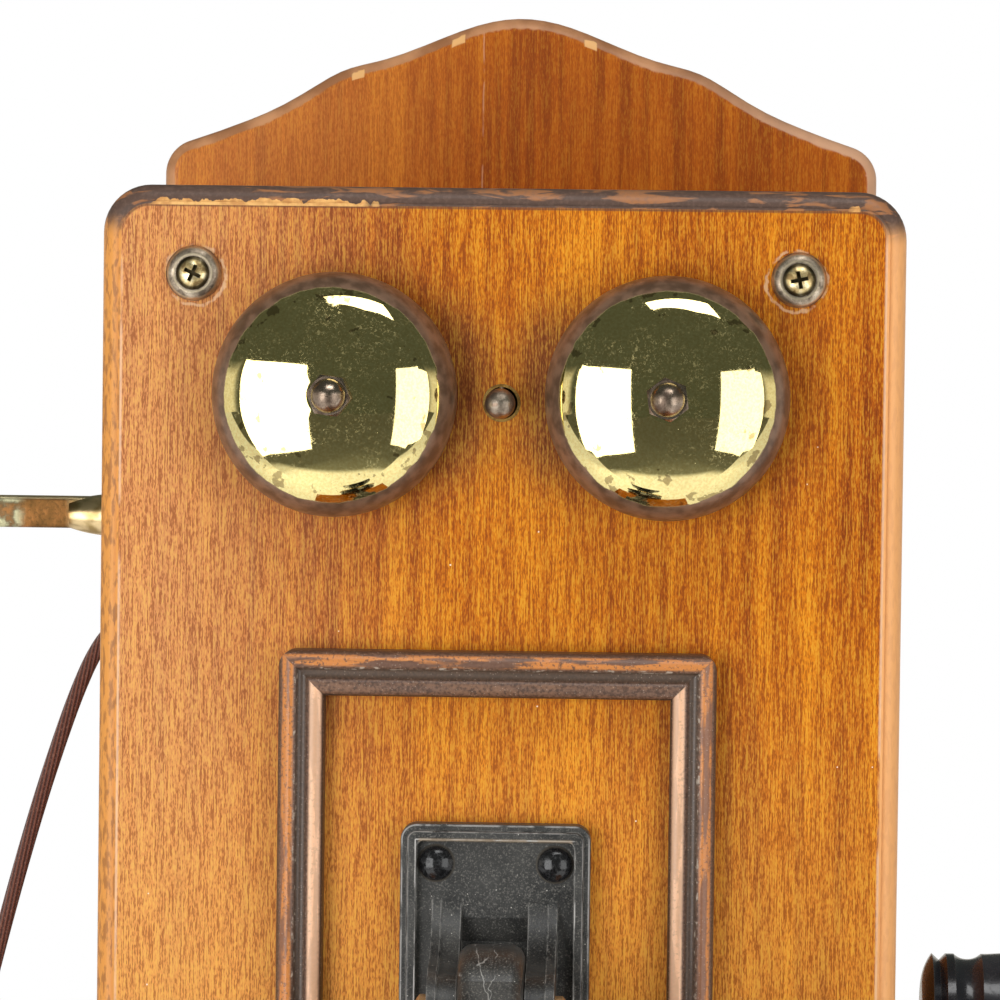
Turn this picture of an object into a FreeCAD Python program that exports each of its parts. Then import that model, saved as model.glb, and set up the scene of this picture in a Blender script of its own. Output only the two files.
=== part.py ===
import FreeCAD, Part
import math
import os

V = FreeCAD.Vector
X_AXIS = V(1, 0, 0)
Y_AXIS = V(0, 1, 0)
Z_AXIS = V(0, 0, 1)
FORWARD = V(0, -1, 0)
os.makedirs("parts", exist_ok=True)

# A wooden crank wall telephone, in millimetres
# The wall is the plane y = 0, the front faces -Y, and z = 0 is the middle of the front panel

# Cabinet
panel_width = 210.0
panel_thickness = 13.0
panel_corner = 12.5
panel_round = 4.5
panel_field_rise = 0.8
panel_overhang = 7.0
board_thickness = 12.0
box_depth = 125.0
backboard_ledge = 5.0
backboard_thickness = 16.0
backboard_round = 4.0
backboard_corner = 10.0
crest_height = 53.0
crest_fall = 38.4
tail_height = 36.0
tail_fall = 27.0
block_side = 9.0
block_fall = 20.0
block_depth = 30.0

# Holes for the screws that hang the cabinet on the wall
wall_hole_r = 2.6
wall_hole_spacing_x = 120.0
wall_hole_spacing_z = 150.0
wall_hole_drop = 122.5

# Panel screws in cup washers
screw_side_inset = 26.1
screw_shift = -1.9
screw_inset = 23.1
screw_head_r = 4.3
screw_head_dome = 1.6
screw_shank_r = 2.1
screw_bite = 22.0
recess_width = 1.0
recess_length = 4.6
recess_depth = 1.7
washer_r = 7.25
washer_height = 3.0
washer_lip = 0.6

# Applied moulding round the transmitter
moulding_width = 114.0
moulding_height = 165.0
moulding_outer_bead = 4.7
moulding_cove = 2.9
moulding_inner_bead = 4.4
moulding_rise = 8.8
moulding_cove_depth = 2.2
moulding_lip = 0.8
moulding_shoulder = 4.3
moulding_corner = 4.5
moulding_drop = 120.7

# Writing shelf
shelf_inset = 10.0
shelf_depth = 108.0
shelf_thickness = 12.0
shelf_slope = 12.0
shelf_gap = 14.8
shelf_lift = 44.5
shelf_round = 4.0
shelf_bracket_width = 12.0
shelf_bracket_gap = 1.75
shelf_bracket_reach = 78.0
shelf_bracket_drop = 28.0
shelf_bracket_toe = 5.0

# Bells
bell_r = 31.75
bell_depth = 21.5
bell_wall = 1.6
bell_rim_gap = 4.0
bell_spacing = 86.4
bell_drop = 54.2
bell_crown_ball = 58.0
bell_shoulder_r = 23.5
bell_seat_r = 6.0
post_r = 4.5
post_foot_r = 7.0
post_foot_height = 2.0
post_foot_cone = 1.0
post_stud_r = 2.5
post_root_r = 3.0
post_root_length = 11.0
nut_flats = 10.0
nut_height = 5.5
nut_dome_r = 4.4
nut_dome_rise = 3.8
nut_waist = 0.8
nut_chamfer = 0.9
nut_grip = 5.0

# Clapper and ringer
ball_r = 3.95
ball_reach = 12.0
clapper_drop = 56.0
clapper_pivot_depth = 4.0
clapper_rod_r = 1.1
clapper_hub_r = 2.4
clapper_hub_height = 4.0
clapper_tail = 22.0
clapper_pin_r = 0.8
bushing_r = 4.9
bushing_bore_r = 4.2
bushing_length = 7.0
bushing_flange_r = 7.5
bushing_flange = 1.0
clapper_room_r = 8.5
armature_width = 14.0
armature_depth = 5.0
armature_height = 10.0
armature_gap = 4.0
core_r = 3.0
core_tip = 2.0
ringer_coil_r = 9.0
ringer_coil_length = 30.0
ringer_coil_gap = 10.0
yoke_thickness = 3.0
yoke_side_gap = 7.0
yoke_height = 24.0
yoke_foot = 9.0
magnet_width = 40.0
magnet_height = 12.0
magnet_depth = 8.0

# Transmitter bracket, arm and mouthpiece
bracket_width = 49.6
bracket_head_room = 33.0
bracket_foot_room = 13.0
bracket_plate = 4.0
bracket_rim = 4.2
bracket_rim_rise = 3.0
bracket_step = 1.8
bracket_step_drop = 1.4
bracket_corner = 4.2
bracket_soften = 0.6
ear_thickness = 7.6
ear_slot = 17.5
ear_r = 11.5
ear_hollow = 0.14
ear_rib = 2.4
ear_rib_rise = 1.0
ear_rivet_gap = 5.3
recess_depth = 2.2
recess_slope = 6.5
recess_gap = 4.5
rivet_side_gap = 0.1
rivet_end_gap = 1.2
rivet_head_r = 5.0
rivet_head_rise = 2.6
rivet_shank_r = 2.0
rivet_length = 9.0
knuckle_r = 18.5
knuckle_round = 3.8
knuckle_side_gap = 0.25
knuckle_back_gap = 1.5
pivot_r = 4.0
pivot_head_r = 5.5
pivot_head_side = 2.0
pivot_head_rise = 2.2
arm_reach = 50.0
arm_fall = 31.5
arm_tip_height = 20.0
arm_flange_r = 15.0
arm_flange = 4.0
cup_r = 34.0
cup_depth = 22.0
cup_wall = 2.5
cup_back_round = 5.0
faceplate_r = 35.5
faceplate_thickness = 4.0
faceplate_lip = 1.5
mouth_base_r = 15.0
mouth_base_height = 5.0
mouth_base_cone = 3.0
mouth_neck_r = 12.5
mouth_lip_r = 29.0
mouth_length = 42.0
mouth_wall = 2.2
mouth_lip_height = 2.0
mouth_throat_r = 9.5
diaphragm_thickness = 0.6
button_r = 9.0
button_length = 8.0
button_stem_r = 4.0

# Hook and its switch
hook_drop = 88.3
hook_depth = 60.0
hook_height = 8.8
hook_thickness = 4.0
hook_corner = 1.3
hook_pivot_inset = 10.0
hook_hub_r = 6.0
hook_pin_r = 2.0
hook_tail = 18.0
hook_boss_rim = 0.4
hook_boss_step = 2.5
hook_tail_height = 6.0
hook_boss_r = 5.8
hook_boss_drop = 0.7
hook_boss_start = 4.5
hook_boss_length = 17.5
hook_rise = 10.0
hook_slot_gap = 0.8
neck_gap = 0.6
fork_width = 5.0
fork_thickness = 5.0
fork_prong = 14.0
fork_neck_width = 12.0
fork_neck_length = 9.0
cheek_thickness = 1.6
cheek_gap = 0.5
cheek_margin = 6.0
cheek_foot = 9.0
cheek_height = 18.0
cheek_base = 2.0
contact_block = 16.6
contact_height = 20.0
contact_width = 12.0
contact_gap = 0.5
contact_leaf = 0.6
contact_leaf_width = 6.0
contact_leaf_length = 19.0
contact_leaf_root = 6.0
contact_leaf_spacing = 4.0

# Receiver, its axis upright
receiver_reach = 80.0
receiver_neck_r = 12.6
receiver_neck_length = 17.0
receiver_cup_r = 24.0
receiver_cup_height = 23.0
receiver_cup_side = 12.0
receiver_cup_floor = 4.0
receiver_cup_taper = 4.0
receiver_foot_r = 17.2
receiver_barrel_r = 15.5
receiver_barrel_start = 8.0
receiver_barrel_length = 34.0
receiver_tail_r = 10.0
receiver_tail_round = 2.0
receiver_tail_wall = 8.0
receiver_length = 136.0
receiver_wall = 3.0
receiver_air_gap = 1.0
receiver_seat_gap = 0.3
receiver_bore_r = 7.0
cap_r = 27.0
cap_height = 20.0
cap_overlap = 6.0
cap_ear_hole_r = 6.5
cap_dish = 4.0
cap_rim = 5.0
cap_chamfer = 1.5
cap_chamber = 1.5
receiver_magnet_r = 6.0
bush_r = 5.0
bush_tip_r = 3.2
bush_length = 10.0

# Receiver cord
cord_r = 2.1
cord_exit_run = 4.0
cord_end_run = 6.6
grommet_r = 6.0
grommet_flange = 1.6
grommet_sleeve_r = 3.6
grommet_soften = 1.2
grommet_drop = 119.0
grommet_depth = 94.0

# Crank
rod_r = 3.175
rod_bend = 5.5
arm_standoff = 10.5
crank_arm = 52.0
handle_start = 17.6
handle_length = 84.0
handle_face_r = 8.0
handle_nose = 2.9
handle_bead_start = 4.9
handle_bead = 4.0
handle_cove = 7.6
handle_grip_start = 18.0
handle_tip = 9.0
handle_ring_r = 17.2
handle_groove_r = 15.4
handle_swell_r = 17.6
handle_tip_r = 14.5
handle_nut_r = 6.0
handle_nut_length = 4.0
handle_nut_chamfer = 1.2
handle_end_gap = 0.4
crank_bushing_r = 6.5
crank_bushing_flange_r = 9.0
crank_bushing_flange = 2.0

# Magneto
gear_module = 1.0
gear_pressure_angle = 20.0
gear_dedendum = 1.25
wheel_teeth = 72
pinion_teeth = 18
gear_width = 6.0
gear_backlash = 0.14
gear_spread = 0.1
gear_drop = 28.0
gear_side_gap = 3.0
gear_plate_gap = 4.0
magneto_back_gap = 5.6
rotor_lift = 4.3
rotor_r = 12.5
rotor_length = 57.0
rotor_slot = 9.0
rotor_slot_depth = 6.0
rotor_end_gap = 5.0
rotor_shaft_r = 3.0
rotor_shaft_overhang = 3.0
pole_gap = 0.5
pole_wall = 1.0
pole_rise = 9.2
frame_plate = 3.0
frame_base = 4.0
plate_margin = 12.0
magnet_bar_thickness = 8.0
magnet_bar_width = 16.0
magnet_bar_gap = 2.0
magnet_bar_count = 3
magnet_bar_top = 26.0

# Induction coil and terminals on the backboard
induction_r = 11.0
induction_length = 70.0
induction_cheek = 28.0
induction_cheek_thickness = 5.0
induction_x = -40.0
induction_drop = 152.5
terminal_width = 90.0
terminal_height = 16.0
terminal_depth = 10.0
terminal_drop = 82.5
terminal_count = 5
terminal_head_r = 4.0
terminal_head = 3.0

# Clearances
turn_gap = 0.05
fixed_gap = 0.05
screw_cone_gap = 0.15
shank_gap = 0.2

# Planes and axes worked out from the sizes above
box_width = panel_width - 2 * panel_overhang
side_x = box_width / 2
inner_x = side_x - board_thickness
back_face = -backboard_thickness
panel_back = back_face - box_depth
panel_face = panel_back - panel_thickness
backboard_width = box_width + 2 * backboard_ledge
panel_height = moulding_drop + moulding_height + shelf_gap + shelf_lift
panel_top = panel_height / 2
box_top = panel_top - panel_overhang
ceiling_z = box_top - board_thickness
floor_z = -ceiling_z


def save(name, *solids):
    """Write one node; like pieces share a node as separate solids."""
    shape = solids[0] if len(solids) == 1 else Part.makeCompound(list(solids))
    shape.exportStep("parts/" + name + ".step")


def box(x0, x1, y0, y1, z0, z1):
    low = V(min(x0, x1), min(y0, y1), min(z0, z1))
    return Part.makeBox(abs(x1 - x0), abs(y1 - y0), abs(z1 - z0), low)


def rod(start, axis, radius, length):
    return Part.makeCylinder(radius, length, start, axis)


def on_xz(y):
    return lambda u, v: V(u, y, v)


def on_yz(x):
    return lambda u, v: V(x, u, v)


def outline(points, place):
    """Closed wire: a plain point is reached by a line, a pair (middle, end) by an arc."""
    edges = []
    start = points[0]
    for step in points[1:] + [points[0]]:
        if isinstance(step[0], tuple):
            middle, end = step
            edges.append(Part.Arc(place(*start), place(*middle), place(*end)).toShape())
        else:
            end = step
            if math.dist(start, end) > 1e-6:
                edges.append(Part.LineSegment(place(*start), place(*end)).toShape())
        start = end
    return Part.Wire(edges)


def prism(points, place, depth):
    return Part.Face(outline(points, place)).extrude(depth)


def turned(points, foot, axis, out):
    """Solid of revolution: points are (radius, height) from foot along axis."""
    face = Part.Face(outline(points, lambda r, h: foot + out * r + axis * h))
    return face.revolve(foot, axis, 360)


def dome(radius, foot, rise):
    """Arc step of a turned profile, from (radius, foot) over a spherical cap to the axis."""
    ball = (radius ** 2 + rise ** 2) / (2 * rise)
    half = math.atan2(rise, radius)
    crown = foot + rise
    return (ball * math.sin(half), crown - ball * (1 - math.cos(half))), (0, crown)


def bow(start, end, bulge):
    """Arc step from start to end that swells to the left of the way by bulge times the chord."""
    run = (end[0] - start[0], end[1] - start[1])
    middle = (start[0] + run[0] / 2 - run[1] * bulge, start[1] + run[1] / 2 + run[0] * bulge)
    return middle, end


def rounded_points(width, height, corner, middle=0.0):
    """Rectangle with round corners, as outline points about (0, middle)."""
    x = width / 2
    low = middle - height / 2
    high = middle + height / 2
    far = corner * (1 - math.sqrt(0.5))
    return [
        (x - corner, low),
        ((x - far, low + far), (x, low + corner)),
        (x, high - corner),
        ((x - far, high - far), (x - corner, high)),
        (corner - x, high),
        ((far - x, high - far), (-x, high - corner)),
        (-x, low + corner),
        ((far - x, low + far), (corner - x, low)),
    ]


def slab(width, height, corner, middle, y0, y1):
    return prism(rounded_points(width, height, corner, middle), on_xz(y0), V(0, y1 - y0, 0))


def edges_on_plane(shape, axis, level):
    """Edges that lie in one plane across an axis."""
    found = []
    for edge in shape.Edges:
        b = edge.BoundBox
        low = V(b.XMin, b.YMin, b.ZMin).dot(axis)
        high = V(b.XMax, b.YMax, b.ZMax).dot(axis)
        if abs(low - level) < 1e-3 and abs(high - level) < 1e-3:
            found.append(edge)
    return found


# Backboard: a scrolled crest and tail, rounded along the front edge
half_board = backboard_width / 2
crest_peak = panel_top + crest_height
tail_peak = -panel_top - tail_height
scroll_shape = [
    (0, 0), (0.107, 0.04), (0.199, 0.125), (0.301, 0.237), (0.398, 0.325), (0.495, 0.396),
    (0.602, 0.557), (0.699, 0.703), (0.801, 0.818), (0.903, 0.917), (1, 1),
]


def scroll(peak, fall):
    """Scrolled end of the board: a middle lobe with a shoulder and a wing on each side."""
    half = [(half_board * across, peak - fall * down) for across, down in scroll_shape]
    points = [V(-x, back_face, z) for x, z in reversed(half[1:])]
    points += [V(x, back_face, z) for x, z in half]
    curve = Part.BSplineCurve()
    curve.interpolate(points)
    return curve.toShape()


def wall_hole_places():
    middle = panel_top - wall_hole_drop
    for x in (-wall_hole_spacing_x / 2, wall_hole_spacing_x / 2):
        for z in (middle - wall_hole_spacing_z / 2, middle + wall_hole_spacing_z / 2):
            yield x, z


def make_backboard():
    edges = [scroll(crest_peak, crest_fall), scroll(tail_peak, -tail_fall)]
    for x in (-half_board, half_board):
        top = V(x, back_face, crest_peak - crest_fall)
        bottom = V(x, back_face, tail_peak + tail_fall)
        edges.append(Part.LineSegment(top, bottom).toShape())
    face = Part.Face(Part.Wire(Part.__sortEdges__(edges)))
    board = face.extrude(V(0, backboard_thickness, 0))
    corners = [e for e in board.Edges if e.BoundBox.XLength + e.BoundBox.ZLength < 1e-3]
    board = board.makeFillet(backboard_corner, corners)
    board = board.makeFillet(backboard_round, edges_on_plane(board, Y_AXIS, back_face))
    for x, z in wall_hole_places():
        board = board.cut(rod(V(x, 0, z), FORWARD, wall_hole_r, backboard_thickness))
    return board


save("backboard", make_backboard())

# Box: two sides between a top and a bottom board
hook_z = panel_top - hook_drop
hook_y = panel_face + hook_depth
hook_pivot_x = -inner_x + hook_pivot_inset
grommet_z = panel_top - grommet_drop
grommet_y = panel_face + grommet_depth
magnet_inner = rotor_r + pole_gap + pole_wall
magnet_half = magnet_inner + magnet_bar_thickness
rotor_y = back_face - magneto_back_gap - magnet_half
rotor_z = floor_z + frame_base + rotor_lift + rotor_r
gear_distance = gear_module * (wheel_teeth + pinion_teeth) / 2 + gear_spread
crank_y = rotor_y - math.sqrt(gear_distance ** 2 - gear_drop ** 2)
crank_z = rotor_z + gear_drop


def make_side_left():
    """Left side, with the slot that the hook swings in and the cord's hole."""
    board = box(-side_x, -inner_x, back_face, panel_back, floor_z, ceiling_z)
    slot_half = hook_thickness / 2 + hook_slot_gap
    lever = hook_pivot_x + side_x
    swing = lever * math.tan(math.radians(hook_rise)) + hook_height / 2
    low = hook_z - hook_height / 2 - hook_slot_gap
    high = hook_z + swing + hook_slot_gap
    board = board.cut(box(-side_x, -inner_x, hook_y - slot_half, hook_y + slot_half, low, high))
    hole = rod(V(-side_x, grommet_y, grommet_z), X_AXIS, grommet_sleeve_r + fixed_gap, board_thickness)
    return board.cut(hole)


def make_side_right():
    board = box(inner_x, side_x, back_face, panel_back, floor_z, ceiling_z)
    hole = rod(V(inner_x, crank_y, crank_z), X_AXIS, crank_bushing_r + fixed_gap, board_thickness)
    return board.cut(hole)


save("side_left", make_side_left())
save("side_right", make_side_right())
save("top_board", box(-side_x, side_x, back_face, panel_back, ceiling_z, box_top))
save("bottom_board", box(-side_x, side_x, back_face, panel_back, -box_top, floor_z))

# Front panel with its raised field, and what fastens it
screw_z = panel_top - screw_inset
screw_half = panel_width / 2 - screw_side_inset
screw_xs = (screw_shift - screw_half, screw_shift + screw_half)
screw_places = [(x, z) for z in (screw_z, -screw_z) for x in screw_xs]
bell_z = panel_top - bell_drop
bell_xs = (-bell_spacing / 2, bell_spacing / 2)
clapper_z = panel_top - clapper_drop
moulding_strip = moulding_outer_bead + moulding_cove + moulding_inner_bead
bracket_drop = moulding_drop + moulding_strip + bracket_head_room
bracket_height = moulding_height - 2 * moulding_strip - bracket_head_room - bracket_foot_room
bracket_middle = panel_top - bracket_drop - bracket_height / 2
rivet_x = bracket_width / 2 - bracket_rim - rivet_head_r - rivet_side_gap
rivet_z = bracket_height / 2 - bracket_rim - rivet_head_r - rivet_end_gap
rivet_places = [(x, bracket_middle + z) for z in (rivet_z, -rivet_z) for x in (-rivet_x, rivet_x)]


def make_front_panel():
    field_face = panel_face + panel_field_rise
    board = slab(panel_width, panel_height, panel_corner, 0, panel_back, field_face)
    board = board.makeFillet(panel_round, edges_on_plane(board, Y_AXIS, field_face))
    width = panel_width - 2 * panel_round
    height = panel_height - 2 * panel_round
    field = slab(width, height, panel_corner - panel_round, 0, field_face, panel_face)
    board = board.fuse(field)
    for x, z in screw_places:
        board = board.cut(rod(V(x, panel_back, z), FORWARD, screw_shank_r + shank_gap, panel_thickness))
    for x in bell_xs:
        hole = rod(V(x, panel_face, bell_z), Y_AXIS, post_root_r + fixed_gap, post_root_length)
        board = board.cut(hole)
    for x, z in rivet_places:
        depth = rivet_length - bracket_plate
        board = board.cut(rod(V(x, panel_face, z), Y_AXIS, rivet_shank_r + fixed_gap, depth))
    board = board.cut(rod(V(0, panel_face, clapper_z), Y_AXIS, bushing_r + fixed_gap, bushing_length))
    room = panel_thickness - bushing_length
    return board.cut(rod(V(0, panel_back, clapper_z), FORWARD, clapper_room_r, room))


save("front_panel", make_front_panel())


def make_block(x, z):
    """Corner block that a panel screw bites into, glued to the side and the end board."""
    side = math.copysign(1, x)
    end = math.copysign(1, z)
    block = box(
        side * inner_x, x - side * block_side, panel_back, panel_back + block_depth,
        end * ceiling_z, z - end * block_fall,
    )
    return block.cut(rod(V(x, panel_back, z), Y_AXIS, screw_shank_r + fixed_gap, screw_bite))


save("panel_blocks", *[make_block(x, z) for x, z in screw_places])

cone_foot = screw_head_r - screw_shank_r
head_rim = washer_height - screw_cone_gap


def make_washer(x, z):
    """Cup washer: domed outside, countersunk inside."""
    top_r = screw_head_r + screw_cone_gap
    bottom_r = screw_shank_r + shank_gap
    cone_depth = top_r - bottom_r
    rim = (washer_r, washer_lip)
    profile = [
        (bottom_r, 0), (washer_r, 0), rim, bow(rim, (top_r + washer_lip, washer_height), -0.16),
        (top_r, washer_height), (bottom_r, washer_height - cone_depth),
    ]
    return turned(profile, V(x, panel_face, z), FORWARD, X_AXIS)


def make_panel_screw(x, z, turn):
    """Raised countersunk wood screw with a cross recess."""
    foot = V(x, panel_face, z)
    tip = panel_thickness + screw_bite
    crown = head_rim + screw_head_dome
    profile = [
        (0, -tip), (screw_shank_r, -tip + 2 * screw_shank_r),
        (screw_shank_r, head_rim - cone_foot), (screw_head_r, head_rim),
        dome(screw_head_r, head_rim, screw_head_dome),
    ]
    screw = turned(profile, foot, FORWARD, X_AXIS)
    for quarter in (0, 90):
        wing = box(
            -recess_width / 2, recess_width / 2, 0, recess_depth, -recess_length / 2, recess_length / 2,
        )
        wing.rotate(V(0, 0, 0), Y_AXIS, turn + quarter)
        wing.translate(foot + FORWARD * crown)
        screw = screw.cut(wing)
    return screw


screw_turns = (25, -12, 40, 8)
save("cup_washers", *[make_washer(x, z) for x, z in screw_places])
save("panel_screws", *[make_panel_screw(x, z, turn) for (x, z), turn in zip(screw_places, screw_turns)])

# Moulding: four mitred strips with two beads and a cove between them
moulding_middle = panel_top - moulding_drop - moulding_height / 2


def moulding_profile():
    """Section from the outer edge inwards, as (across, rise): a bead, a cove and a lower bead."""
    shoulder = (0, moulding_rise - moulding_shoulder)
    crown = (moulding_outer_bead * 0.64, moulding_rise)
    lip = (moulding_outer_bead, moulding_rise - moulding_lip)
    cove = (moulding_outer_bead, moulding_rise - moulding_cove_depth)
    rise = (moulding_outer_bead + moulding_cove, moulding_rise - moulding_cove_depth)
    fall = (moulding_strip, moulding_rise - moulding_shoulder)
    return [
        (0, 0), shoulder, bow(shoulder, crown, 0.2), bow(crown, lip, 0.12), cove,
        bow(cove, rise, -0.3), bow(rise, fall, 0.32), (moulding_strip, 0),
    ]


def make_moulding(side, along_x):
    """One strip on one side of the opening; along_x strips are the top and the bottom."""
    half_w = moulding_width / 2
    half_h = moulding_height / 2
    reach = half_h if along_x else half_w
    length = moulding_width if along_x else moulding_height

    def put(across, rise):
        level = side * (reach - across)
        if along_x:
            return V(-length / 2, panel_face - rise, moulding_middle + level)
        return V(level, panel_face - rise, moulding_middle - length / 2)

    strip = prism(moulding_profile(), put, (X_AXIS if along_x else Z_AXIS) * length)
    s = moulding_strip
    if along_x:
        corners = [(-half_w, half_h), (half_w, half_h), (half_w - s, half_h - s), (s - half_w, half_h - s)]
        corners = [(u, moulding_middle + side * v) for u, v in corners]
    else:
        corners = [(half_w, -half_h), (half_w, half_h), (half_w - s, half_h - s), (half_w - s, s - half_h)]
        corners = [(side * u, moulding_middle + v) for u, v in corners]
    mitre = prism(corners, on_xz(panel_face), FORWARD * moulding_rise * 2)
    rounded = slab(
        moulding_width, moulding_height, moulding_corner, moulding_middle,
        panel_face, panel_face - 2 * moulding_rise,
    )
    return strip.common(mitre).common(rounded)


save("moulding_top", make_moulding(1, True))
save("moulding_bottom", make_moulding(-1, True))
save("moulding_left", make_moulding(-1, False))
save("moulding_right", make_moulding(1, False))

# Writing shelf, sloping down to the front, on two brackets
shelf_z = -panel_top + shelf_lift
shelf_width = panel_width - 2 * shelf_inset
shelf_bracket_side = max(screw_xs) - washer_r - shelf_bracket_gap
slope = math.radians(shelf_slope)


def shelf_point(out, down):
    """A point of the shelf's section: out along the slope, down square to it."""
    y = panel_face - out * math.cos(slope) + down * math.sin(slope)
    return y, shelf_z - out * math.sin(slope) - down * math.cos(slope)


def make_shelf():
    under = (panel_face, shelf_z - shelf_thickness / math.cos(slope))
    section = [
        (panel_face, shelf_z), shelf_point(shelf_depth, 0), shelf_point(shelf_depth, shelf_thickness), under,
    ]
    board = prism(section, on_yz(-shelf_width / 2), X_AXIS * shelf_width)
    front = [
        e for e in board.Edges
        if e.BoundBox.YMax < panel_face - shelf_depth * math.cos(slope) + shelf_thickness
        and e.BoundBox.XLength > shelf_width / 2
    ]
    return board.makeFillet(shelf_round, front)


def make_shelf_bracket(side):
    top = shelf_z - shelf_thickness / math.cos(slope)
    tip = shelf_point(shelf_bracket_reach, shelf_thickness)
    toe = (tip[0], tip[1] - shelf_bracket_toe)
    foot = (panel_face, top - shelf_bracket_drop)
    heel = (panel_face - shelf_bracket_toe, top - shelf_bracket_drop)
    section = [(panel_face, top), tip, toe, bow(toe, heel, 0.08), foot]
    inwards = X_AXIS * -side * shelf_bracket_width
    return prism(section, on_yz(side * shelf_bracket_side), inwards)


save("writing_shelf", make_shelf())
save("shelf_brackets", make_shelf_bracket(-1), make_shelf_bracket(1))

# Bells on posts, held by acorn nuts
bell_rim_y = panel_face - bell_rim_gap
bell_slope = math.asin(bell_shoulder_r / bell_crown_ball)
bell_bend = (bell_r - bell_shoulder_r) / (1 - math.sin(bell_slope))
bell_ball_rise = bell_depth - math.sqrt(bell_crown_ball ** 2 - bell_seat_r ** 2)


def arc_bulge(angle):
    """Bulge of an arc that turns by this angle."""
    return math.tan(angle / 4) / 2


def bell_line(inset):
    """Rim top, shoulder and crown seat of a gong's outer line, or of the line inset from it."""
    ball = bell_crown_ball - inset
    rim_top = bell_ball_rise + (bell_crown_ball - bell_bend) * math.cos(bell_slope)
    shoulder = (ball * math.sin(bell_slope), bell_ball_rise + ball * math.cos(bell_slope))
    return (bell_r - inset, rim_top), shoulder, (bell_seat_r, bell_depth - inset)


def make_bell(x):
    """Gong pressed from sheet: a plain rim, a round shoulder and a flatter crown."""
    bore = post_stud_r + fixed_gap
    bend = arc_bulge(math.pi / 2 - bell_slope)
    crown = arc_bulge(bell_slope - math.asin(bell_seat_r / bell_crown_ball))
    rim, shoulder, seat = bell_line(0)
    inner_rim, inner_shoulder, inner_seat = bell_line(bell_wall)
    profile = [
        (bell_r, 0), rim, bow(rim, shoulder, -bend), bow(shoulder, seat, -crown), (bore, bell_depth),
        (bore, bell_depth - bell_wall), inner_seat, bow(inner_seat, inner_shoulder, crown),
        bow(inner_shoulder, inner_rim, bend), (bell_r - bell_wall, 0),
    ]
    return turned(profile, V(x, bell_rim_y, bell_z), FORWARD, X_AXIS)


bell_top = bell_rim_gap + bell_depth


def make_post(x):
    """Shouldered post: rooted in the panel, its stud through the bell's crown."""
    seat = bell_top - bell_wall
    profile = [
        (0, -post_root_length), (post_root_r, -post_root_length), (post_root_r, 0), (post_foot_r, 0),
        (post_foot_r, post_foot_height), (post_r, post_foot_height + post_foot_cone), (post_r, seat),
        (post_stud_r, seat), (post_stud_r, bell_top + nut_grip), (0, bell_top + nut_grip),
    ]
    return turned(profile, V(x, panel_face, bell_z), FORWARD, X_AXIS)


def hexagon(foot, flats, height, axis):
    radius = flats / math.sqrt(3)
    turns = [k * math.pi / 3 for k in range(6)]
    points = [foot + V(radius * math.cos(turn), 0, radius * math.sin(turn)) for turn in turns]
    return Part.Face(Part.makePolygon(points + points[:1])).extrude(axis * height)


def make_acorn_nut(x, turn):
    foot = V(x, panel_face - bell_top, bell_z)
    body = hexagon(foot, nut_flats, nut_height, FORWARD)
    corner = nut_flats / math.sqrt(3)
    flat = nut_flats / 2
    rounding = [
        (0, 0), (corner, 0), (corner, nut_height - nut_chamfer), (flat, nut_height), (0, nut_height),
    ]
    body = body.common(turned(rounding, foot, FORWARD, X_AXIS))
    waist = nut_height + nut_waist
    cap = [
        (0, nut_height), (nut_dome_r, nut_height), (nut_dome_r, waist),
        dome(nut_dome_r, waist, nut_dome_rise),
    ]
    body = body.fuse(turned(cap, foot, FORWARD, X_AXIS)).removeSplitter()
    body = body.cut(rod(foot, FORWARD, post_stud_r + fixed_gap, nut_grip))
    body.rotate(foot, Y_AXIS, turn)
    return body


save("bell_left", make_bell(bell_xs[0]))
save("bell_right", make_bell(bell_xs[1]))
save("bell_posts", *[make_post(x) for x in bell_xs])
save("bell_nuts", make_acorn_nut(bell_xs[0], 8), make_acorn_nut(bell_xs[1], 22))

# Clapper: a ball on a rod that rocks in a bushing in the panel
clapper_pivot = V(0, panel_face + clapper_pivot_depth, clapper_z)
clapper_pin_foot = clapper_pivot - Z_AXIS * bushing_r
ball_centre = V(0, panel_face - ball_reach, clapper_z)
armature_y = clapper_pivot.y + clapper_tail


def make_clapper_rod():
    length = armature_y - ball_centre.y
    body = rod(ball_centre, Y_AXIS, clapper_rod_r, length)
    hub_foot = clapper_pivot - Z_AXIS * clapper_hub_height / 2
    body = body.fuse(rod(hub_foot, Z_AXIS, clapper_hub_r, clapper_hub_height))
    return body.cut(rod(hub_foot, Z_AXIS, clapper_pin_r + turn_gap, clapper_hub_height))


def make_clapper_bushing():
    front = V(0, panel_face, clapper_z)
    back = panel_face + bushing_length
    body = rod(front, Y_AXIS, bushing_r, bushing_length)
    body = body.fuse(rod(V(0, back, clapper_z), Y_AXIS, bushing_flange_r, bushing_flange))
    body = body.cut(rod(front, Y_AXIS, bushing_bore_r, bushing_length + bushing_flange))
    return body.cut(rod(clapper_pin_foot, Z_AXIS, clapper_pin_r + fixed_gap, 2 * bushing_r))


ball = Part.makeSphere(ball_r, ball_centre)
save("clapper_ball", ball.cut(rod(ball_centre, Y_AXIS, clapper_rod_r, ball_r)))
save("clapper_rod", make_clapper_rod())
save("clapper_pin", rod(clapper_pin_foot, Z_AXIS, clapper_pin_r, 2 * bushing_r))
save("clapper_bushing", make_clapper_bushing())
save("clapper_armature", box(
    -armature_width / 2, armature_width / 2, armature_y, armature_y + armature_depth,
    clapper_z - armature_height / 2, clapper_z + armature_height / 2,
))

# Ringer behind the panel: a yoke with two cores and coils, and a magnet
core_face = armature_y + armature_depth + armature_gap
coil_y = core_face + core_tip
yoke_y = coil_y + ringer_coil_length
core_x = ringer_coil_r + ringer_coil_gap / 2
yoke_half = core_x + ringer_coil_r + yoke_side_gap + yoke_thickness


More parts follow.
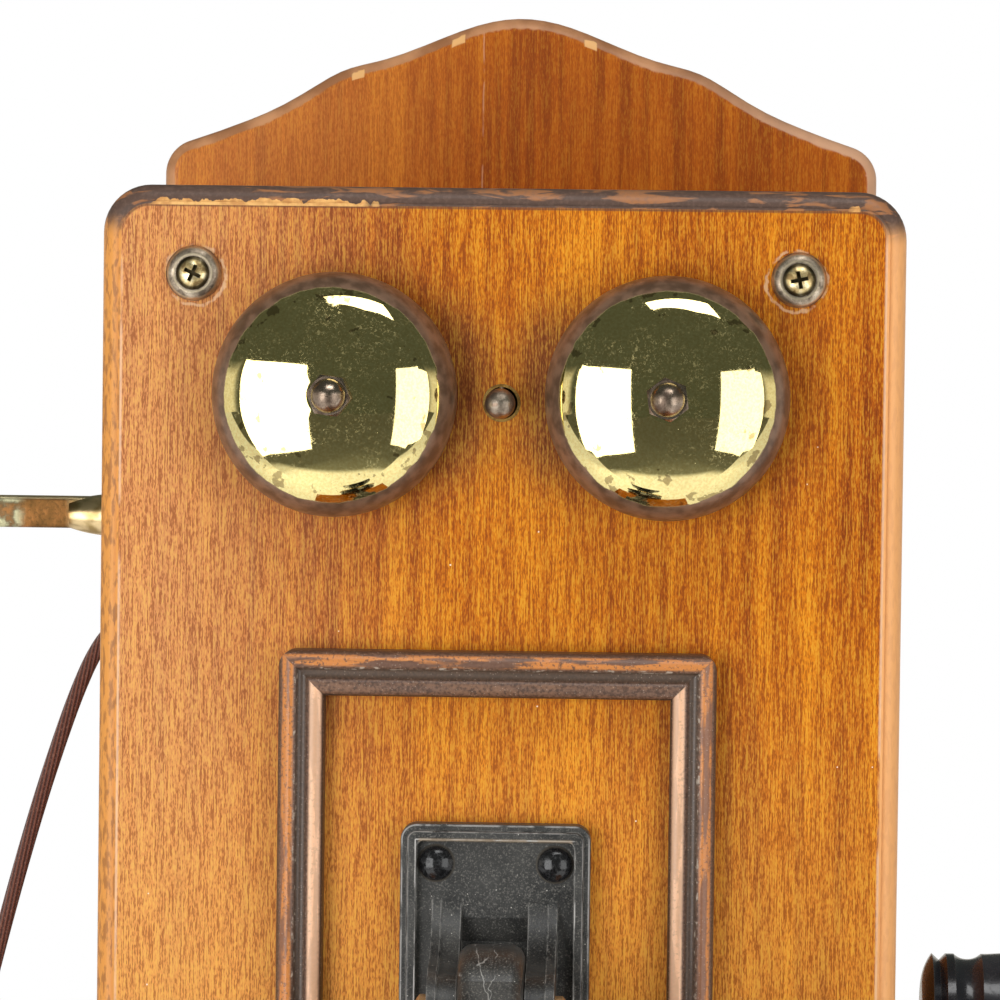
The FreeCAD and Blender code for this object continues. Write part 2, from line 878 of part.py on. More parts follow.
def make_ringer_frame():
    """Yoke behind the coils, on two feet at the panel, with the cores on it."""
    low = clapper_z - yoke_height / 2
    high = clapper_z + yoke_height / 2
    foot_face = panel_back + yoke_thickness
    body = box(-yoke_half, yoke_half, yoke_y, yoke_y + yoke_thickness, low, high)
    for side in (-1, 1):
        outer = side * yoke_half
        inner = side * (yoke_half - yoke_thickness)
        body = body.fuse(box(inner, outer, panel_back, yoke_y, low, high))
        body = body.fuse(box(outer, outer + side * yoke_foot, panel_back, foot_face, low, high))
        core = V(side * core_x, core_face, clapper_z)
        body = body.fuse(rod(core, Y_AXIS, core_r, core_tip + ringer_coil_length))
    return body.removeSplitter()


def make_ringer_coil(side):
    foot = V(side * core_x, coil_y, clapper_z)
    return rod(foot, Y_AXIS, ringer_coil_r, ringer_coil_length).cut(
        rod(foot, Y_AXIS, core_r + fixed_gap, ringer_coil_length))


save("ringer_frame", make_ringer_frame())
save("ringer_coils", make_ringer_coil(-1), make_ringer_coil(1))
magnet_y = yoke_y + yoke_thickness
save("ringer_magnet", box(
    -magnet_width / 2, magnet_width / 2, magnet_y, magnet_y + magnet_depth,
    clapper_z - magnet_height / 2, clapper_z + magnet_height / 2,
))

# Transmitter bracket: a rimmed plate with two ears
plate_face = panel_face - bracket_plate
pivot_y = plate_face - knuckle_back_gap - knuckle_r
pivot_z = bracket_middle
ear_outer = ear_slot / 2 + ear_thickness
ear_root = rivet_z - rivet_head_r - ear_rivet_gap


def bracket_slab(inset, corner, y0, y1):
    return slab(bracket_width - 2 * inset, bracket_height - 2 * inset, corner, bracket_middle, y0, y1)


def ear_section(grow):
    """Side outline of an ear: hollow shoulder, round end, straight underside."""
    end = ear_r + grow
    root = (plate_face, pivot_z + ear_root + grow)
    return [
        root, bow(root, (pivot_y, pivot_z + end), ear_hollow),
        ((pivot_y - end, pivot_z), (pivot_y, pivot_z - end)), (plate_face, pivot_z - ear_root),
    ]


def make_bracket():
    rim_face = plate_face - bracket_rim_rise
    step_face = rim_face + bracket_step_drop
    plate = bracket_slab(0, bracket_corner, panel_face, step_face)
    plate = plate.makeFillet(bracket_soften, edges_on_plane(plate, Y_AXIS, step_face))
    ridge = bracket_slab(bracket_step, bracket_corner - bracket_step, panel_face, rim_face)
    ridge = ridge.makeFillet(bracket_soften, edges_on_plane(ridge, Y_AXIS, rim_face))
    body = plate.fuse(ridge).cut(bracket_slab(bracket_rim, bracket_corner / 2, plate_face, rim_face))
    for side in (-1, 1):
        inner_x = side * ear_slot / 2
        body = body.fuse(prism(ear_section(0), on_yz(inner_x), X_AXIS * side * ear_thickness))
        rib_x = side * (ear_outer - ear_rib)
        body = body.fuse(prism(ear_section(ear_rib_rise), on_yz(rib_x), X_AXIS * side * ear_rib))
    recess_top = pivot_z + knuckle_r + recess_gap
    recess_end = pivot_z - knuckle_r
    floor = plate_face + recess_depth
    section = [
        (plate_face, recess_top), (floor, recess_top - recess_slope), (floor, recess_end),
        (plate_face, recess_end),
    ]
    body = body.cut(prism(section, on_yz(-ear_slot / 2), X_AXIS * ear_slot))
    body = body.cut(rod(V(-ear_outer, pivot_y, pivot_z), X_AXIS, pivot_r + fixed_gap, 2 * ear_outer))
    for x, z in rivet_places:
        body = body.cut(rod(V(x, panel_face, z), FORWARD, rivet_shank_r + fixed_gap, bracket_plate))
    return body.removeSplitter()


def make_rivet(x, z):
    buried = rivet_length - bracket_plate
    profile = [
        (0, -buried), (rivet_shank_r, -buried), (rivet_shank_r, bracket_plate),
        (rivet_head_r, bracket_plate), dome(rivet_head_r, bracket_plate, rivet_head_rise),
    ]
    return turned(profile, V(x, panel_face, z), FORWARD, X_AXIS)


pivot_head_profile = [
    (0, 0), (pivot_head_r, 0), (pivot_head_r, pivot_head_side),
    dome(pivot_head_r, pivot_head_side, pivot_head_rise),
]


def make_pivot_bolt():
    """Bolt through both ears, domed head on the left."""
    foot = V(-ear_outer, pivot_y, pivot_z)
    shank = rod(foot, X_AXIS, pivot_r, 2 * ear_outer + pivot_head_side)
    return turned(pivot_head_profile, foot, V(-1, 0, 0), Z_AXIS).fuse(shank).removeSplitter()


def make_pivot_nut():
    """Domed cap nut on the bolt's right end."""
    foot = V(ear_outer, pivot_y, pivot_z)
    body = turned(pivot_head_profile, foot, X_AXIS, Z_AXIS)
    return body.cut(rod(foot, X_AXIS, pivot_r + fixed_gap, pivot_head_side))


save("transmitter_bracket", make_bracket())
save("bracket_rivets", *[make_rivet(x, z) for x, z in rivet_places])
save("arm_pivot_bolt", make_pivot_bolt())
save("arm_pivot_nut", make_pivot_nut())

# Transmitter: arm, cup, faceplate, mouthpiece and what they hold
knuckle_half = ear_slot / 2 - knuckle_side_gap
arm_tip_y = pivot_y - arm_reach
cup_z = pivot_z - arm_fall
cup_back = arm_tip_y - arm_flange
cup_foot = V(0, cup_back, cup_z)
quarter_bow = (math.sqrt(2) - 1) / 2
mouth_flare = 0.115


def make_arm():
    hub = rod(V(-knuckle_half, pivot_y, pivot_z), X_AXIS, knuckle_r, 2 * knuckle_half)
    rims = edges_on_plane(hub, X_AXIS, -knuckle_half) + edges_on_plane(hub, X_AXIS, knuckle_half)
    hub = hub.makeFillet(knuckle_round, rims)
    fall = math.atan2(arm_fall, arm_reach)
    up = (math.sin(fall) * knuckle_r, math.cos(fall) * knuckle_r)
    section = [
        (pivot_y - up[0], pivot_z + up[1]), (arm_tip_y, cup_z + arm_tip_height / 2),
        (arm_tip_y, cup_z - arm_tip_height / 2), (pivot_y + up[0], pivot_z - up[1]),
    ]
    bar = prism(section, on_yz(-knuckle_half), X_AXIS * (2 * knuckle_half))
    slopes = [e for e in bar.Edges if e.BoundBox.XLength < 1e-3 and e.BoundBox.YLength > arm_reach / 2]
    bar = bar.makeFillet(knuckle_round, slopes)
    flange = rod(V(0, arm_tip_y, cup_z), FORWARD, arm_flange_r, arm_flange)
    body = hub.fuse(bar).fuse(flange).removeSplitter()
    return body.cut(rod(V(-knuckle_half, pivot_y, pivot_z), X_AXIS, pivot_r + turn_gap, 2 * knuckle_half))


def make_cup():
    """Cup with a rounded back; its open front holds the diaphragm."""
    back = (cup_r - cup_back_round, 0)
    side = (cup_r, cup_back_round)
    inner_side = (cup_r - cup_wall, cup_back_round)
    inner_back = (cup_r - cup_back_round, cup_wall)
    profile = [
        (0, 0), back, bow(back, side, -quarter_bow), (cup_r, cup_depth), (cup_r - cup_wall, cup_depth),
        inner_side, bow(inner_side, inner_back, quarter_bow), (0, cup_wall),
    ]
    return turned(profile, cup_foot, FORWARD, X_AXIS)


def make_faceplate():
    front = cup_depth + faceplate_thickness
    bore = mouth_neck_r + fixed_gap
    edge = (faceplate_r, front - faceplate_lip)
    profile = [
        (bore, cup_depth), (faceplate_r, cup_depth), edge,
        bow(edge, (faceplate_r - faceplate_lip, front), -quarter_bow), (bore, front),
    ]
    return turned(profile, cup_foot, FORWARD, X_AXIS)


def make_mouthpiece():
    """Flared horn whose neck screws into the faceplate."""
    front = cup_depth + faceplate_thickness
    lip = front + mouth_length
    neck = (mouth_neck_r, front + mouth_base_height + mouth_base_cone)
    rim = (mouth_lip_r, lip - mouth_lip_height)
    edge = (mouth_lip_r, lip)
    inner_edge = (mouth_lip_r - mouth_wall, lip)
    throat = (mouth_throat_r, neck[1])
    profile = [
        (mouth_throat_r, cup_depth), (mouth_neck_r, cup_depth), (mouth_neck_r, front), (mouth_base_r, front),
        (mouth_base_r, front + mouth_base_height), neck, bow(neck, rim, mouth_flare), bow(rim, edge, -0.35),
        inner_edge, bow(inner_edge, throat, -mouth_flare),
    ]
    return turned(profile, cup_foot, FORWARD, X_AXIS)


diaphragm_foot = cup_foot + FORWARD * (cup_depth - diaphragm_thickness)


def make_button():
    """Carbon button on a stem from the cup's back to the diaphragm."""
    end = cup_depth - diaphragm_thickness
    start = end - button_length
    profile = [
        (0, cup_wall), (button_stem_r, cup_wall), (button_stem_r, start), (button_r, start), (button_r, end),
        (0, end),
    ]
    return turned(profile, cup_foot, FORWARD, X_AXIS)


save("transmitter_arm", make_arm())
save("transmitter_cup", make_cup())
save("transmitter_faceplate", make_faceplate())
save("mouthpiece", make_mouthpiece())
diaphragm_r = cup_r - cup_wall - fixed_gap
save("transmitter_diaphragm", rod(diaphragm_foot, FORWARD, diaphragm_r, diaphragm_thickness))
save("carbon_button", make_button())

# Hook lever and its switch
receiver_x = -side_x - receiver_reach
fork_bore_r = receiver_neck_r + neck_gap
hook_pivot = V(hook_pivot_x, hook_y, hook_z)
fork_z = hook_z - fork_thickness / 2
fork_outer_r = fork_bore_r + fork_width


def make_hook_lever():
    """Cast lever: hub and tail inside, a swelling outside the case, and an open fork."""
    bar_end = receiver_x + fork_outer_r + fork_neck_length - fork_width / 2
    section = rounded_points(hook_thickness, hook_height, hook_corner)
    bar = prism(section, lambda u, v: V(bar_end, hook_y + u, hook_z + v), X_AXIS * (hook_pivot_x - bar_end))
    hub_foot = hook_pivot - Y_AXIS * hook_thickness / 2
    body = bar.fuse(rod(hub_foot, Y_AXIS, hook_hub_r, hook_thickness))
    body = body.fuse(box(
        hook_pivot_x, hook_pivot_x + hook_tail, hub_foot.y, hub_foot.y + hook_thickness,
        hook_z - hook_tail_height / 2, hook_z + hook_tail_height / 2,
    ))
    boss_side = (hook_boss_r, hook_boss_step)
    swell = [
        (0, 0), (hook_boss_r - hook_boss_rim, 0), boss_side,
        bow(boss_side, (hook_height / 2 - hook_boss_drop, hook_boss_length), -0.045), (0, hook_boss_length),
    ]
    boss_foot = V(-side_x - hook_boss_start, hook_y, hook_z - hook_boss_drop)
    body = body.fuse(turned(swell, boss_foot, V(-1, 0, 0), Z_AXIS))
    tip = receiver_x - fork_prong
    for side in (-1, 1):
        inner = hook_y + side * fork_bore_r
        outer = hook_y + side * fork_outer_r
        middle = (inner + outer) / 2
        body = body.fuse(box(tip, receiver_x, inner, outer, fork_z, fork_z + fork_thickness))
        body = body.fuse(rod(V(tip, middle, fork_z), Z_AXIS, fork_width / 2, fork_thickness))
    ring = rod(V(receiver_x, hook_y, fork_z), Z_AXIS, fork_outer_r, fork_thickness)
    ring = ring.cut(rod(V(receiver_x, hook_y, fork_z), Z_AXIS, fork_bore_r, fork_thickness))
    away = box(
        receiver_x - fork_outer_r, receiver_x, hook_y - fork_outer_r, hook_y + fork_outer_r,
        fork_z, fork_z + fork_thickness,
    )
    body = body.fuse(ring.cut(away))
    neck_start = receiver_x + fork_outer_r - fork_width / 2
    neck_end = neck_start + fork_neck_length + fork_width / 2
    half = fork_neck_width / 2
    fork_top = fork_z + fork_thickness
    body = body.fuse(box(neck_start, neck_end, hook_y - half, hook_y + half, fork_z, fork_top))
    return body.removeSplitter().cut(rod(hub_foot, Y_AXIS, hook_pin_r + turn_gap, hook_thickness))


cheek_inner = hook_thickness / 2 + cheek_gap
cheek_outer = cheek_inner + cheek_thickness


pin_foot = hook_pivot - Y_AXIS * cheek_outer


def make_hook_bracket(side):
    """Angle inside the left side; its cheek carries one end of the pin."""
    low = hook_z - cheek_height / 2
    high = hook_z + cheek_height / 2
    inner = hook_y + side * cheek_inner
    outer = hook_y + side * cheek_outer
    cheek = box(-inner_x, hook_pivot_x + cheek_margin, inner, outer, low, high)
    flange = box(-inner_x, cheek_base - inner_x, outer, outer + side * cheek_foot, low, high)
    angle = cheek.fuse(flange).removeSplitter()
    return angle.cut(rod(pin_foot, Y_AXIS, hook_pin_r + fixed_gap, 2 * cheek_outer))


save("hook_lever", make_hook_lever())
save("hook_brackets", make_hook_bracket(-1), make_hook_bracket(1))
save("hook_pin", rod(pin_foot, Y_AXIS, hook_pin_r, 2 * cheek_outer))

swing = math.radians(hook_rise)
tail_fall_z = hook_z - hook_tail_height / 2 * math.cos(swing) - hook_tail * math.sin(swing)


def make_contacts():
    """Switch block on the left side, with a bent spring under the lever's tail and a fixed leaf."""
    half = contact_width / 2
    leaf_half = contact_leaf_width / 2
    block_x = contact_block - inner_x
    block_top = hook_z - cheek_height / 2
    spring_top = tail_fall_z - contact_gap
    root = block_top - contact_leaf_root
    leaf_top = root - contact_leaf_spacing
    end = block_x + contact_leaf_length
    near = hook_y - leaf_half
    far = hook_y + leaf_half
    block = box(-inner_x, block_x, hook_y - half, hook_y + half, block_top - contact_height, block_top)
    riser = box(block_x, block_x + contact_leaf, near, far, root, spring_top)
    tongue = box(block_x, end, near, far, spring_top - contact_leaf, spring_top)
    spring = riser.fuse(tongue).removeSplitter()
    leaf = box(block_x, end, near, far, leaf_top - contact_leaf, leaf_top)
    return [block, spring, leaf]


save("hook_contacts", *make_contacts())

# Receiver hanging in the fork
receiver_foot = V(receiver_x, hook_y, fork_z + fork_thickness + receiver_seat_gap)
cup_top = receiver_cup_height
tail_end = cup_top - receiver_length
bore_end = tail_end + receiver_tail_wall


def make_receiver_shell():
    """Cup, waist for the fork, and a barrel that tapers to the tail; bored from the cup."""
    inner_r = receiver_cup_r - receiver_wall
    cup_side = (receiver_cup_r, cup_top - receiver_cup_side)
    neck = (receiver_neck_r, -receiver_neck_length)
    barrel = (receiver_barrel_r, neck[1] - receiver_barrel_start)
    grip = (receiver_barrel_r, barrel[1] - receiver_barrel_length)
    tail = (receiver_tail_r + receiver_tail_round, tail_end + receiver_tail_round)
    profile = [
        (receiver_bore_r, receiver_cup_floor), (inner_r, receiver_cup_floor + receiver_cup_taper),
        (inner_r, cup_top), (receiver_cup_r, cup_top), cup_side, bow(cup_side, (receiver_foot_r, 0), 0.13),
        (receiver_neck_r, 0), neck, bow(neck, barrel, 0.15), grip, bow(grip, tail, 0.02),
        (receiver_tail_r, tail_end), (0, tail_end), (0, bore_end), (receiver_bore_r, bore_end),
    ]
    return turned(profile, receiver_foot, Z_AXIS, X_AXIS)


def make_receiver_cap():
    """Ear cap that screws over the cup: dished, with a hole in the middle."""
    skirt = cup_top - cap_overlap
    top = skirt + cap_height
    ceiling = cup_top + cap_chamber
    inner = receiver_cup_r + fixed_gap
    chamber_r = receiver_cup_r - receiver_wall
    edge = (cap_r, top - cap_rim)
    rim = (cap_r - cap_rim, top)
    dish = (cap_ear_hole_r, top - cap_dish)
    profile = [
        (inner, skirt), (cap_r - cap_chamfer, skirt), (cap_r, skirt + cap_chamfer), edge,
        bow(edge, rim, -quarter_bow), bow(rim, dish, 0.08), (cap_ear_hole_r, ceiling), (chamber_r, ceiling),
        (chamber_r, cup_top), (inner, cup_top),
    ]
    return turned(profile, receiver_foot, Z_AXIS, X_AXIS)


save("receiver_shell", make_receiver_shell())
save("receiver_cap", make_receiver_cap())
disc_foot = receiver_foot + Z_AXIS * (cup_top - diaphragm_thickness)
disc_r = receiver_cup_r - receiver_wall - fixed_gap
save("receiver_diaphragm", rod(disc_foot, Z_AXIS, disc_r, diaphragm_thickness))
magnet_foot = receiver_foot + Z_AXIS * bore_end
magnet_length = receiver_length - receiver_tail_wall - diaphragm_thickness - receiver_air_gap
save("receiver_magnet", rod(magnet_foot, Z_AXIS, receiver_magnet_r, magnet_length))
bush_top = receiver_foot + Z_AXIS * tail_end
save("receiver_bush", turned(
    [(0, 0), (bush_r, 0), (bush_tip_r, bush_length), (0, bush_length)], bush_top, V(0, 0, -1), X_AXIS))

# Cord from the grommet in the left side to the receiver's tail
grommet_foot = V(-side_x, grommet_y, grommet_z)
cord_start = grommet_foot - X_AXIS * grommet_flange
cord_end = bush_top - Z_AXIS * bush_length


def make_grommet():
    profile = [
        (0, -board_thickness), (grommet_sleeve_r, -board_thickness), (grommet_sleeve_r, 0), (grommet_r, 0),
        (grommet_r, grommet_flange - grommet_soften), (grommet_r - grommet_soften, grommet_flange),
        (0, grommet_flange),
    ]
    return turned(profile, grommet_foot, V(-1, 0, 0), Z_AXIS)


cord_points = [
    cord_start, cord_start - X_AXIS * cord_exit_run,
    V(-107.9, -60.5, 52.3), V(-111.9, -60.9, 49.8), V(-115.0, -61.3, 46.2),
    V(-119.0, -62.0, 38.7), V(-124.6, -63.4, 23.7), V(-133.4, -66.3, -4.9), V(-144.4, -71.2, -48.4),
    V(-154.8, -77.0, -97.0), V(-163.2, -82.5, -146.0), V(-169.2, -87.3, -193.5), V(-172.1, -89.6, -221.5),
    V(-174.0, -90.8, -239.5), V(-180.5, -91.6, -247.1), V(-190.1, -92.3, -249.6), V(-199.3, -92.9, -246.0),
    V(-204.7, -93.3, -237.8), V(-204.3, -93.9, -220.3), V(-202.4, -94.6, -190.3), V(-198.4, -95.2, -146.0),
    V(-192.2, -95.2, -101.5), V(-183.2, -94.6, -65.0), V(-179.4, -94.2, -50.2),
    cord_end - Z_AXIS * cord_end_run, cord_end,
]


def make_cord(points, radius):
    """Tube of straight runs joined by tangent arcs, each as large as its runs allow."""
    edges = []
    radii = []
    start = points[0]
    for before, corner, after in zip(points, points[1:], points[2:]):
        run_in = corner - before
        run_out = after - corner
        tangent = 0.45 * min(run_in.Length, run_out.Length)
        way_in = V(run_in).normalize()
        way_out = V(run_out).normalize()
        half_turn = math.acos(max(-1, min(1, way_in.dot(way_out)))) / 2
        bend = tangent / math.tan(half_turn)
        radii.append(bend)
        first = corner - way_in * tangent
        last = corner + way_out * tangent
        inward = (way_out - way_in).normalize()
        middle = corner + inward * (math.hypot(bend, tangent) - bend)
        edges.append(Part.LineSegment(start, first).toShape())
        edges.append(Part.Arc(first, middle, last).toShape())
        start = last
    edges.append(Part.LineSegment(start, points[-1]).toShape())
    path = Part.Wire(edges)
    way = points[1] - points[0]
    ring = Part.Wire(Part.makeCircle(radius, points[0], way))
    tube = path.makePipeShell([ring], True, False)
    straight = math.pi * radius ** 2 * path.Length
    print("cord length", round(path.Length, 1), "least radius", round(min(radii), 1))
    print("cord radii", [round(r, 1) for r in radii])
    print("cord volume over section times length", round(tube.Volume / straight, 5))
    return tube


save("cord_grommet", make_grommet())
save("receiver_cord", make_cord(cord_points, cord_r))

# Crank: bent rod, turned handle, and the wheel of the magneto's gears
arm_x = side_x + arm_standoff
handle_z = crank_z + crank_arm
handle_x = side_x + handle_start
handle_end = handle_x + handle_length
rod_end = handle_end + handle_end_gap + handle_nut_length
wheel_x = inner_x - gear_side_gap - gear_width
plate_right = wheel_x - gear_plate_gap
rod_start = plate_right - frame_plate


def make_crank_rod():
    b = rod_bend
    far = b * (1 - math.sqrt(0.5))

    def at(x, z):
        return V(x, crank_y, z)

    edges = [
        Part.LineSegment(at(rod_start, crank_z), at(arm_x - b, crank_z)),
        Part.Arc(at(arm_x - b, crank_z), at(arm_x - far, crank_z + far), at(arm_x, crank_z + b)),
        Part.LineSegment(at(arm_x, crank_z + b), at(arm_x, handle_z - b)),
        Part.Arc(at(arm_x, handle_z - b), at(arm_x + far, handle_z - far), at(arm_x + b, handle_z)),
        Part.LineSegment(at(arm_x + b, handle_z), at(rod_end, handle_z)),
    ]
    path = Part.Wire([e.toShape() for e in edges])
    ring = Part.Wire(Part.makeCircle(rod_r, at(rod_start, crank_z), X_AXIS))
    return path.makePipeShell([ring], True, False)


def make_handle():
    """Turned handle, free to spin on the rod's end."""
    bore = rod_r + turn_gap
    face = (handle_face_r, 0)
    nose = (handle_ring_r, handle_nose)
    bead = (handle_ring_r, handle_bead_start + handle_bead)
    grip = (handle_ring_r, handle_grip_start)
    cove = (handle_ring_r, bead[1] + handle_cove)
    tip = (handle_tip_r, handle_length - handle_tip)
    swell = (handle_swell_r, (grip[1] + tip[1]) / 2)
    end = (handle_nut_r, handle_length)
    profile = [
        (bore, 0), face, bow(face, nose, -0.08), (handle_groove_r, handle_bead_start),
        (handle_ring_r, handle_bead_start + handle_ring_r - handle_groove_r), bead,
        bow(bead, cove, 0.2), grip, (swell, tip), bow(tip, end, -0.2), (bore, handle_length),
    ]
    return turned(profile, V(handle_x, crank_y, handle_z), X_AXIS, Z_AXIS)


def make_handle_nut():
    profile = [
        (rod_r + fixed_gap, 0), (handle_nut_r, 0), (handle_nut_r, handle_nut_length - handle_nut_chamfer),
        (handle_nut_r - handle_nut_chamfer, handle_nut_length), (rod_r + fixed_gap, handle_nut_length),
    ]
    return turned(profile, V(handle_end + handle_end_gap, crank_y, handle_z), X_AXIS, Z_AXIS)


def make_gear(centre, teeth, bore, lead):
    """Involute spur gear about X, with one tooth pointing along the angle lead."""
    pitch = gear_module * teeth / 2
    base = pitch * math.cos(math.radians(gear_pressure_angle))
    tip = pitch + gear_module
    root = pitch - gear_dedendum * gear_module
    half = (math.pi * gear_module / 2 - gear_backlash) / (2 * pitch)

    def involute(r):
        angle = math.acos(min(1, base / r))
        return math.tan(angle) - angle

    def at(r, angle):
        return centre + V(0, r * math.cos(angle), r * math.sin(angle))

    def flank(r):
        return half + involute(pitch) - involute(max(r, base))

    low = max(root, base)
    mid = (low + tip) / 2
    edges = []
    for k in range(teeth):
        a = lead + 2 * math.pi * k / teeth
        b = a + 2 * math.pi / teeth
        if base > root:
            edges.append(Part.LineSegment(at(root, a - flank(root)), at(low, a - flank(low))))
        edges.append(Part.Arc(at(low, a - flank(low)), at(mid, a - flank(mid)), at(tip, a - flank(tip))))
        edges.append(Part.Arc(at(tip, a - flank(tip)), at(tip, a), at(tip, a + flank(tip))))
        edges.append(Part.Arc(at(tip, a + flank(tip)), at(mid, a + flank(mid)), at(low, a + flank(low))))
        if base > root:
            edges.append(Part.LineSegment(at(low, a + flank(low)), at(root, a + flank(root))))
        edges.append(Part.Arc(at(root, a + flank(root)), at(root, (a + b) / 2), at(root, b - flank(root))))
    blank = Part.Face(Part.Wire([e.toShape() for e in edges])).extrude(X_AXIS * gear_width)
    return blank.cut(rod(centre, X_AXIS, bore, gear_width))


crank_bushing_foot = V(inner_x, crank_y, crank_z)


def make_crank_bushing():
    body = rod(crank_bushing_foot, X_AXIS, crank_bushing_r, board_thickness)
    flange_foot = crank_bushing_foot + X_AXIS * board_thickness
    body = body.fuse(rod(flange_foot, X_AXIS, crank_bushing_flange_r, crank_bushing_flange))
    length = board_thickness + crank_bushing_flange
    return body.removeSplitter().cut(rod(crank_bushing_foot, X_AXIS, rod_r + turn_gap, length))


mesh_angle = math.atan2(rotor_z - crank_z, rotor_y - crank_y)
wheel_centre = V(wheel_x, crank_y, crank_z)
pinion_centre = V(wheel_x, rotor_y, rotor_z)
pinion_lead = mesh_angle + math.pi + math.pi / pinion_teeth
save("crank_rod", make_crank_rod())
save("crank_handle", make_handle())
save("handle_nut", make_handle_nut())
save("crank_bushing", make_crank_bushing())
save("crank_wheel", make_gear(wheel_centre, wheel_teeth, rod_r + fixed_gap, mesh_angle))
save("rotor_pinion", make_gear(pinion_centre, pinion_teeth, rotor_shaft_r + fixed_gap, pinion_lead))

# Magneto: rotor between pole pieces, horseshoe magnets over them, all on one frame
frame_inside = rotor_length + 2 * rotor_end_gap
plate_left = plate_right - frame_plate - frame_inside - frame_plate
rotor_x = plate_left + frame_plate + rotor_end_gap


def make_rotor():
    """Slotted armature and its shaft."""
    core = rod(V(rotor_x, rotor_y, rotor_z), X_AXIS, rotor_r, rotor_length)
    for side in (-1, 1):
        z = rotor_z + side * (rotor_r - rotor_slot_depth)
        core = core.cut(box(
            rotor_x, rotor_x + rotor_length, rotor_y - rotor_slot / 2, rotor_y + rotor_slot / 2,
            z, z + side * rotor_slot_depth,
        ))
    shaft_start = plate_left - rotor_shaft_overhang
    shaft = rod(V(shaft_start, rotor_y, rotor_z), X_AXIS, rotor_shaft_r, wheel_x + gear_width - shaft_start)
    return core.fuse(shaft).removeSplitter()


def make_magneto_frame():
    """Base with two upright plates; the right one also carries the crank's inner end."""
    front = crank_y - plate_margin
    back = rotor_y + magnet_half
    low_top = rotor_z + plate_margin
    high_top = crank_z + plate_margin
    body = box(plate_left, plate_right, front, back, floor_z, floor_z + frame_base)
    right = [
        (front, floor_z), (back, floor_z), (back, low_top), (rotor_y, high_top), (front, high_top),
    ]
    body = body.fuse(prism(right, on_yz(plate_right - frame_plate), X_AXIS * frame_plate))
    left_front = rotor_y - magnet_half
    body = body.fuse(box(plate_left, plate_left + frame_plate, left_front, back, floor_z, low_top))
    body = body.removeSplitter()
    reach = plate_right - plate_left
    body = body.cut(rod(V(plate_left, rotor_y, rotor_z), X_AXIS, rotor_shaft_r + turn_gap, reach))
    return body.cut(rod(V(rod_start, crank_y, crank_z), X_AXIS, rod_r + turn_gap, frame_plate))


def make_horseshoe(k):
    outer = magnet_half
    inner = magnet_inner
    foot = floor_z + frame_base
    arch = rotor_z + magnet_bar_top
    section = [
        (rotor_y - outer, foot), (rotor_y - outer, arch), ((rotor_y, arch + outer), (rotor_y + outer, arch)),
        (rotor_y + outer, foot), (rotor_y + inner, foot), (rotor_y + inner, arch),
        ((rotor_y, arch + inner), (rotor_y - inner, arch)), (rotor_y - inner, foot),
    ]
    step = k - (magnet_bar_count - 1) / 2
    middle = rotor_x + rotor_length / 2 + step * (magnet_bar_width + magnet_bar_gap)
    return prism(section, on_yz(middle - magnet_bar_width / 2), X_AXIS * magnet_bar_width)


def make_pole(side):
    outer = rotor_y + side * magnet_inner
    inner = rotor_y + side * rotor_slot / 2
    low = floor_z + frame_base
    pole = box(rotor_x, rotor_x + rotor_length, inner, outer, low, rotor_z + pole_rise)
    return pole.cut(rod(V(rotor_x, rotor_y, rotor_z), X_AXIS, rotor_r + pole_gap, rotor_length))


save("magneto_rotor", make_rotor())
save("magneto_frame", make_magneto_frame())
save("magneto_magnets", *[make_horseshoe(k) for k in range(magnet_bar_count)])
save("magneto_poles", make_pole(-1), make_pole(1))

# Induction coil and terminal strip on the backboard
induction_z = panel_top - induction_drop
induction_y = back_face - induction_cheek / 2


def make_induction_coil():
    start = V(induction_x - induction_length / 2, induction_y, induction_z)
    body = rod(start, X_AXIS, induction_r, induction_length)
    half = induction_cheek / 2
    for x in (start.x, start.x + induction_length - induction_cheek_thickness):
        body = body.fuse(box(
            x, x + induction_cheek_thickness, induction_y - half, induction_y + half,
            induction_z - half, induction_z + half))
    return body.removeSplitter()


def make_terminals():
    z = panel_top - terminal_drop
    half = terminal_width / 2
    low = z - terminal_height / 2
    strip = box(-half, half, back_face - terminal_depth, back_face, low, low + terminal_height)
    step = terminal_width / terminal_count
    heads = []
    for k in range(terminal_count):
        x = -half + step * (k + 0.5)
        heads.append(rod(V(x, back_face - terminal_depth, z), FORWARD, terminal_head_r, terminal_head))
    return [strip] + heads


save("induction_coil", make_induction_coil())
save("terminal_strip", *make_terminals())
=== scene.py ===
import math

import bpy
from mathutils import Matrix, Vector


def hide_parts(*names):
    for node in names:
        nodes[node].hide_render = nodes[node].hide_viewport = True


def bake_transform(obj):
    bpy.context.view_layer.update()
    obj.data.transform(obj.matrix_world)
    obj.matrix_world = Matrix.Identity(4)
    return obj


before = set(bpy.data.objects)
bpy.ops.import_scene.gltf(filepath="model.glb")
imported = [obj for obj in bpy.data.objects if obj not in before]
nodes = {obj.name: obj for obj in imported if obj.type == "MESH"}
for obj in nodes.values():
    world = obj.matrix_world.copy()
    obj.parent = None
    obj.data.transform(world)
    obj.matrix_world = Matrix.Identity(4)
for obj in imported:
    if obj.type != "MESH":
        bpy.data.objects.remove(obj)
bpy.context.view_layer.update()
bpy.ops.object.select_all(action="DESELECT")

# Backboard: one scrolled birch board that screws to the wall and carries the whole case.
# It is stained orange-brown and lacquered, and the rounded front edge has worn to paler wood.


def paint(red, green, blue):
    """A colour as the eye sees it, 0 to 255 a channel, in the shader's linear values."""
    parts = [channel / 255 for channel in (red, green, blue)]
    return [c / 12.92 if c <= 0.04045 else ((c + 0.055) / 1.055) ** 2.4 for c in parts] + [1.0]


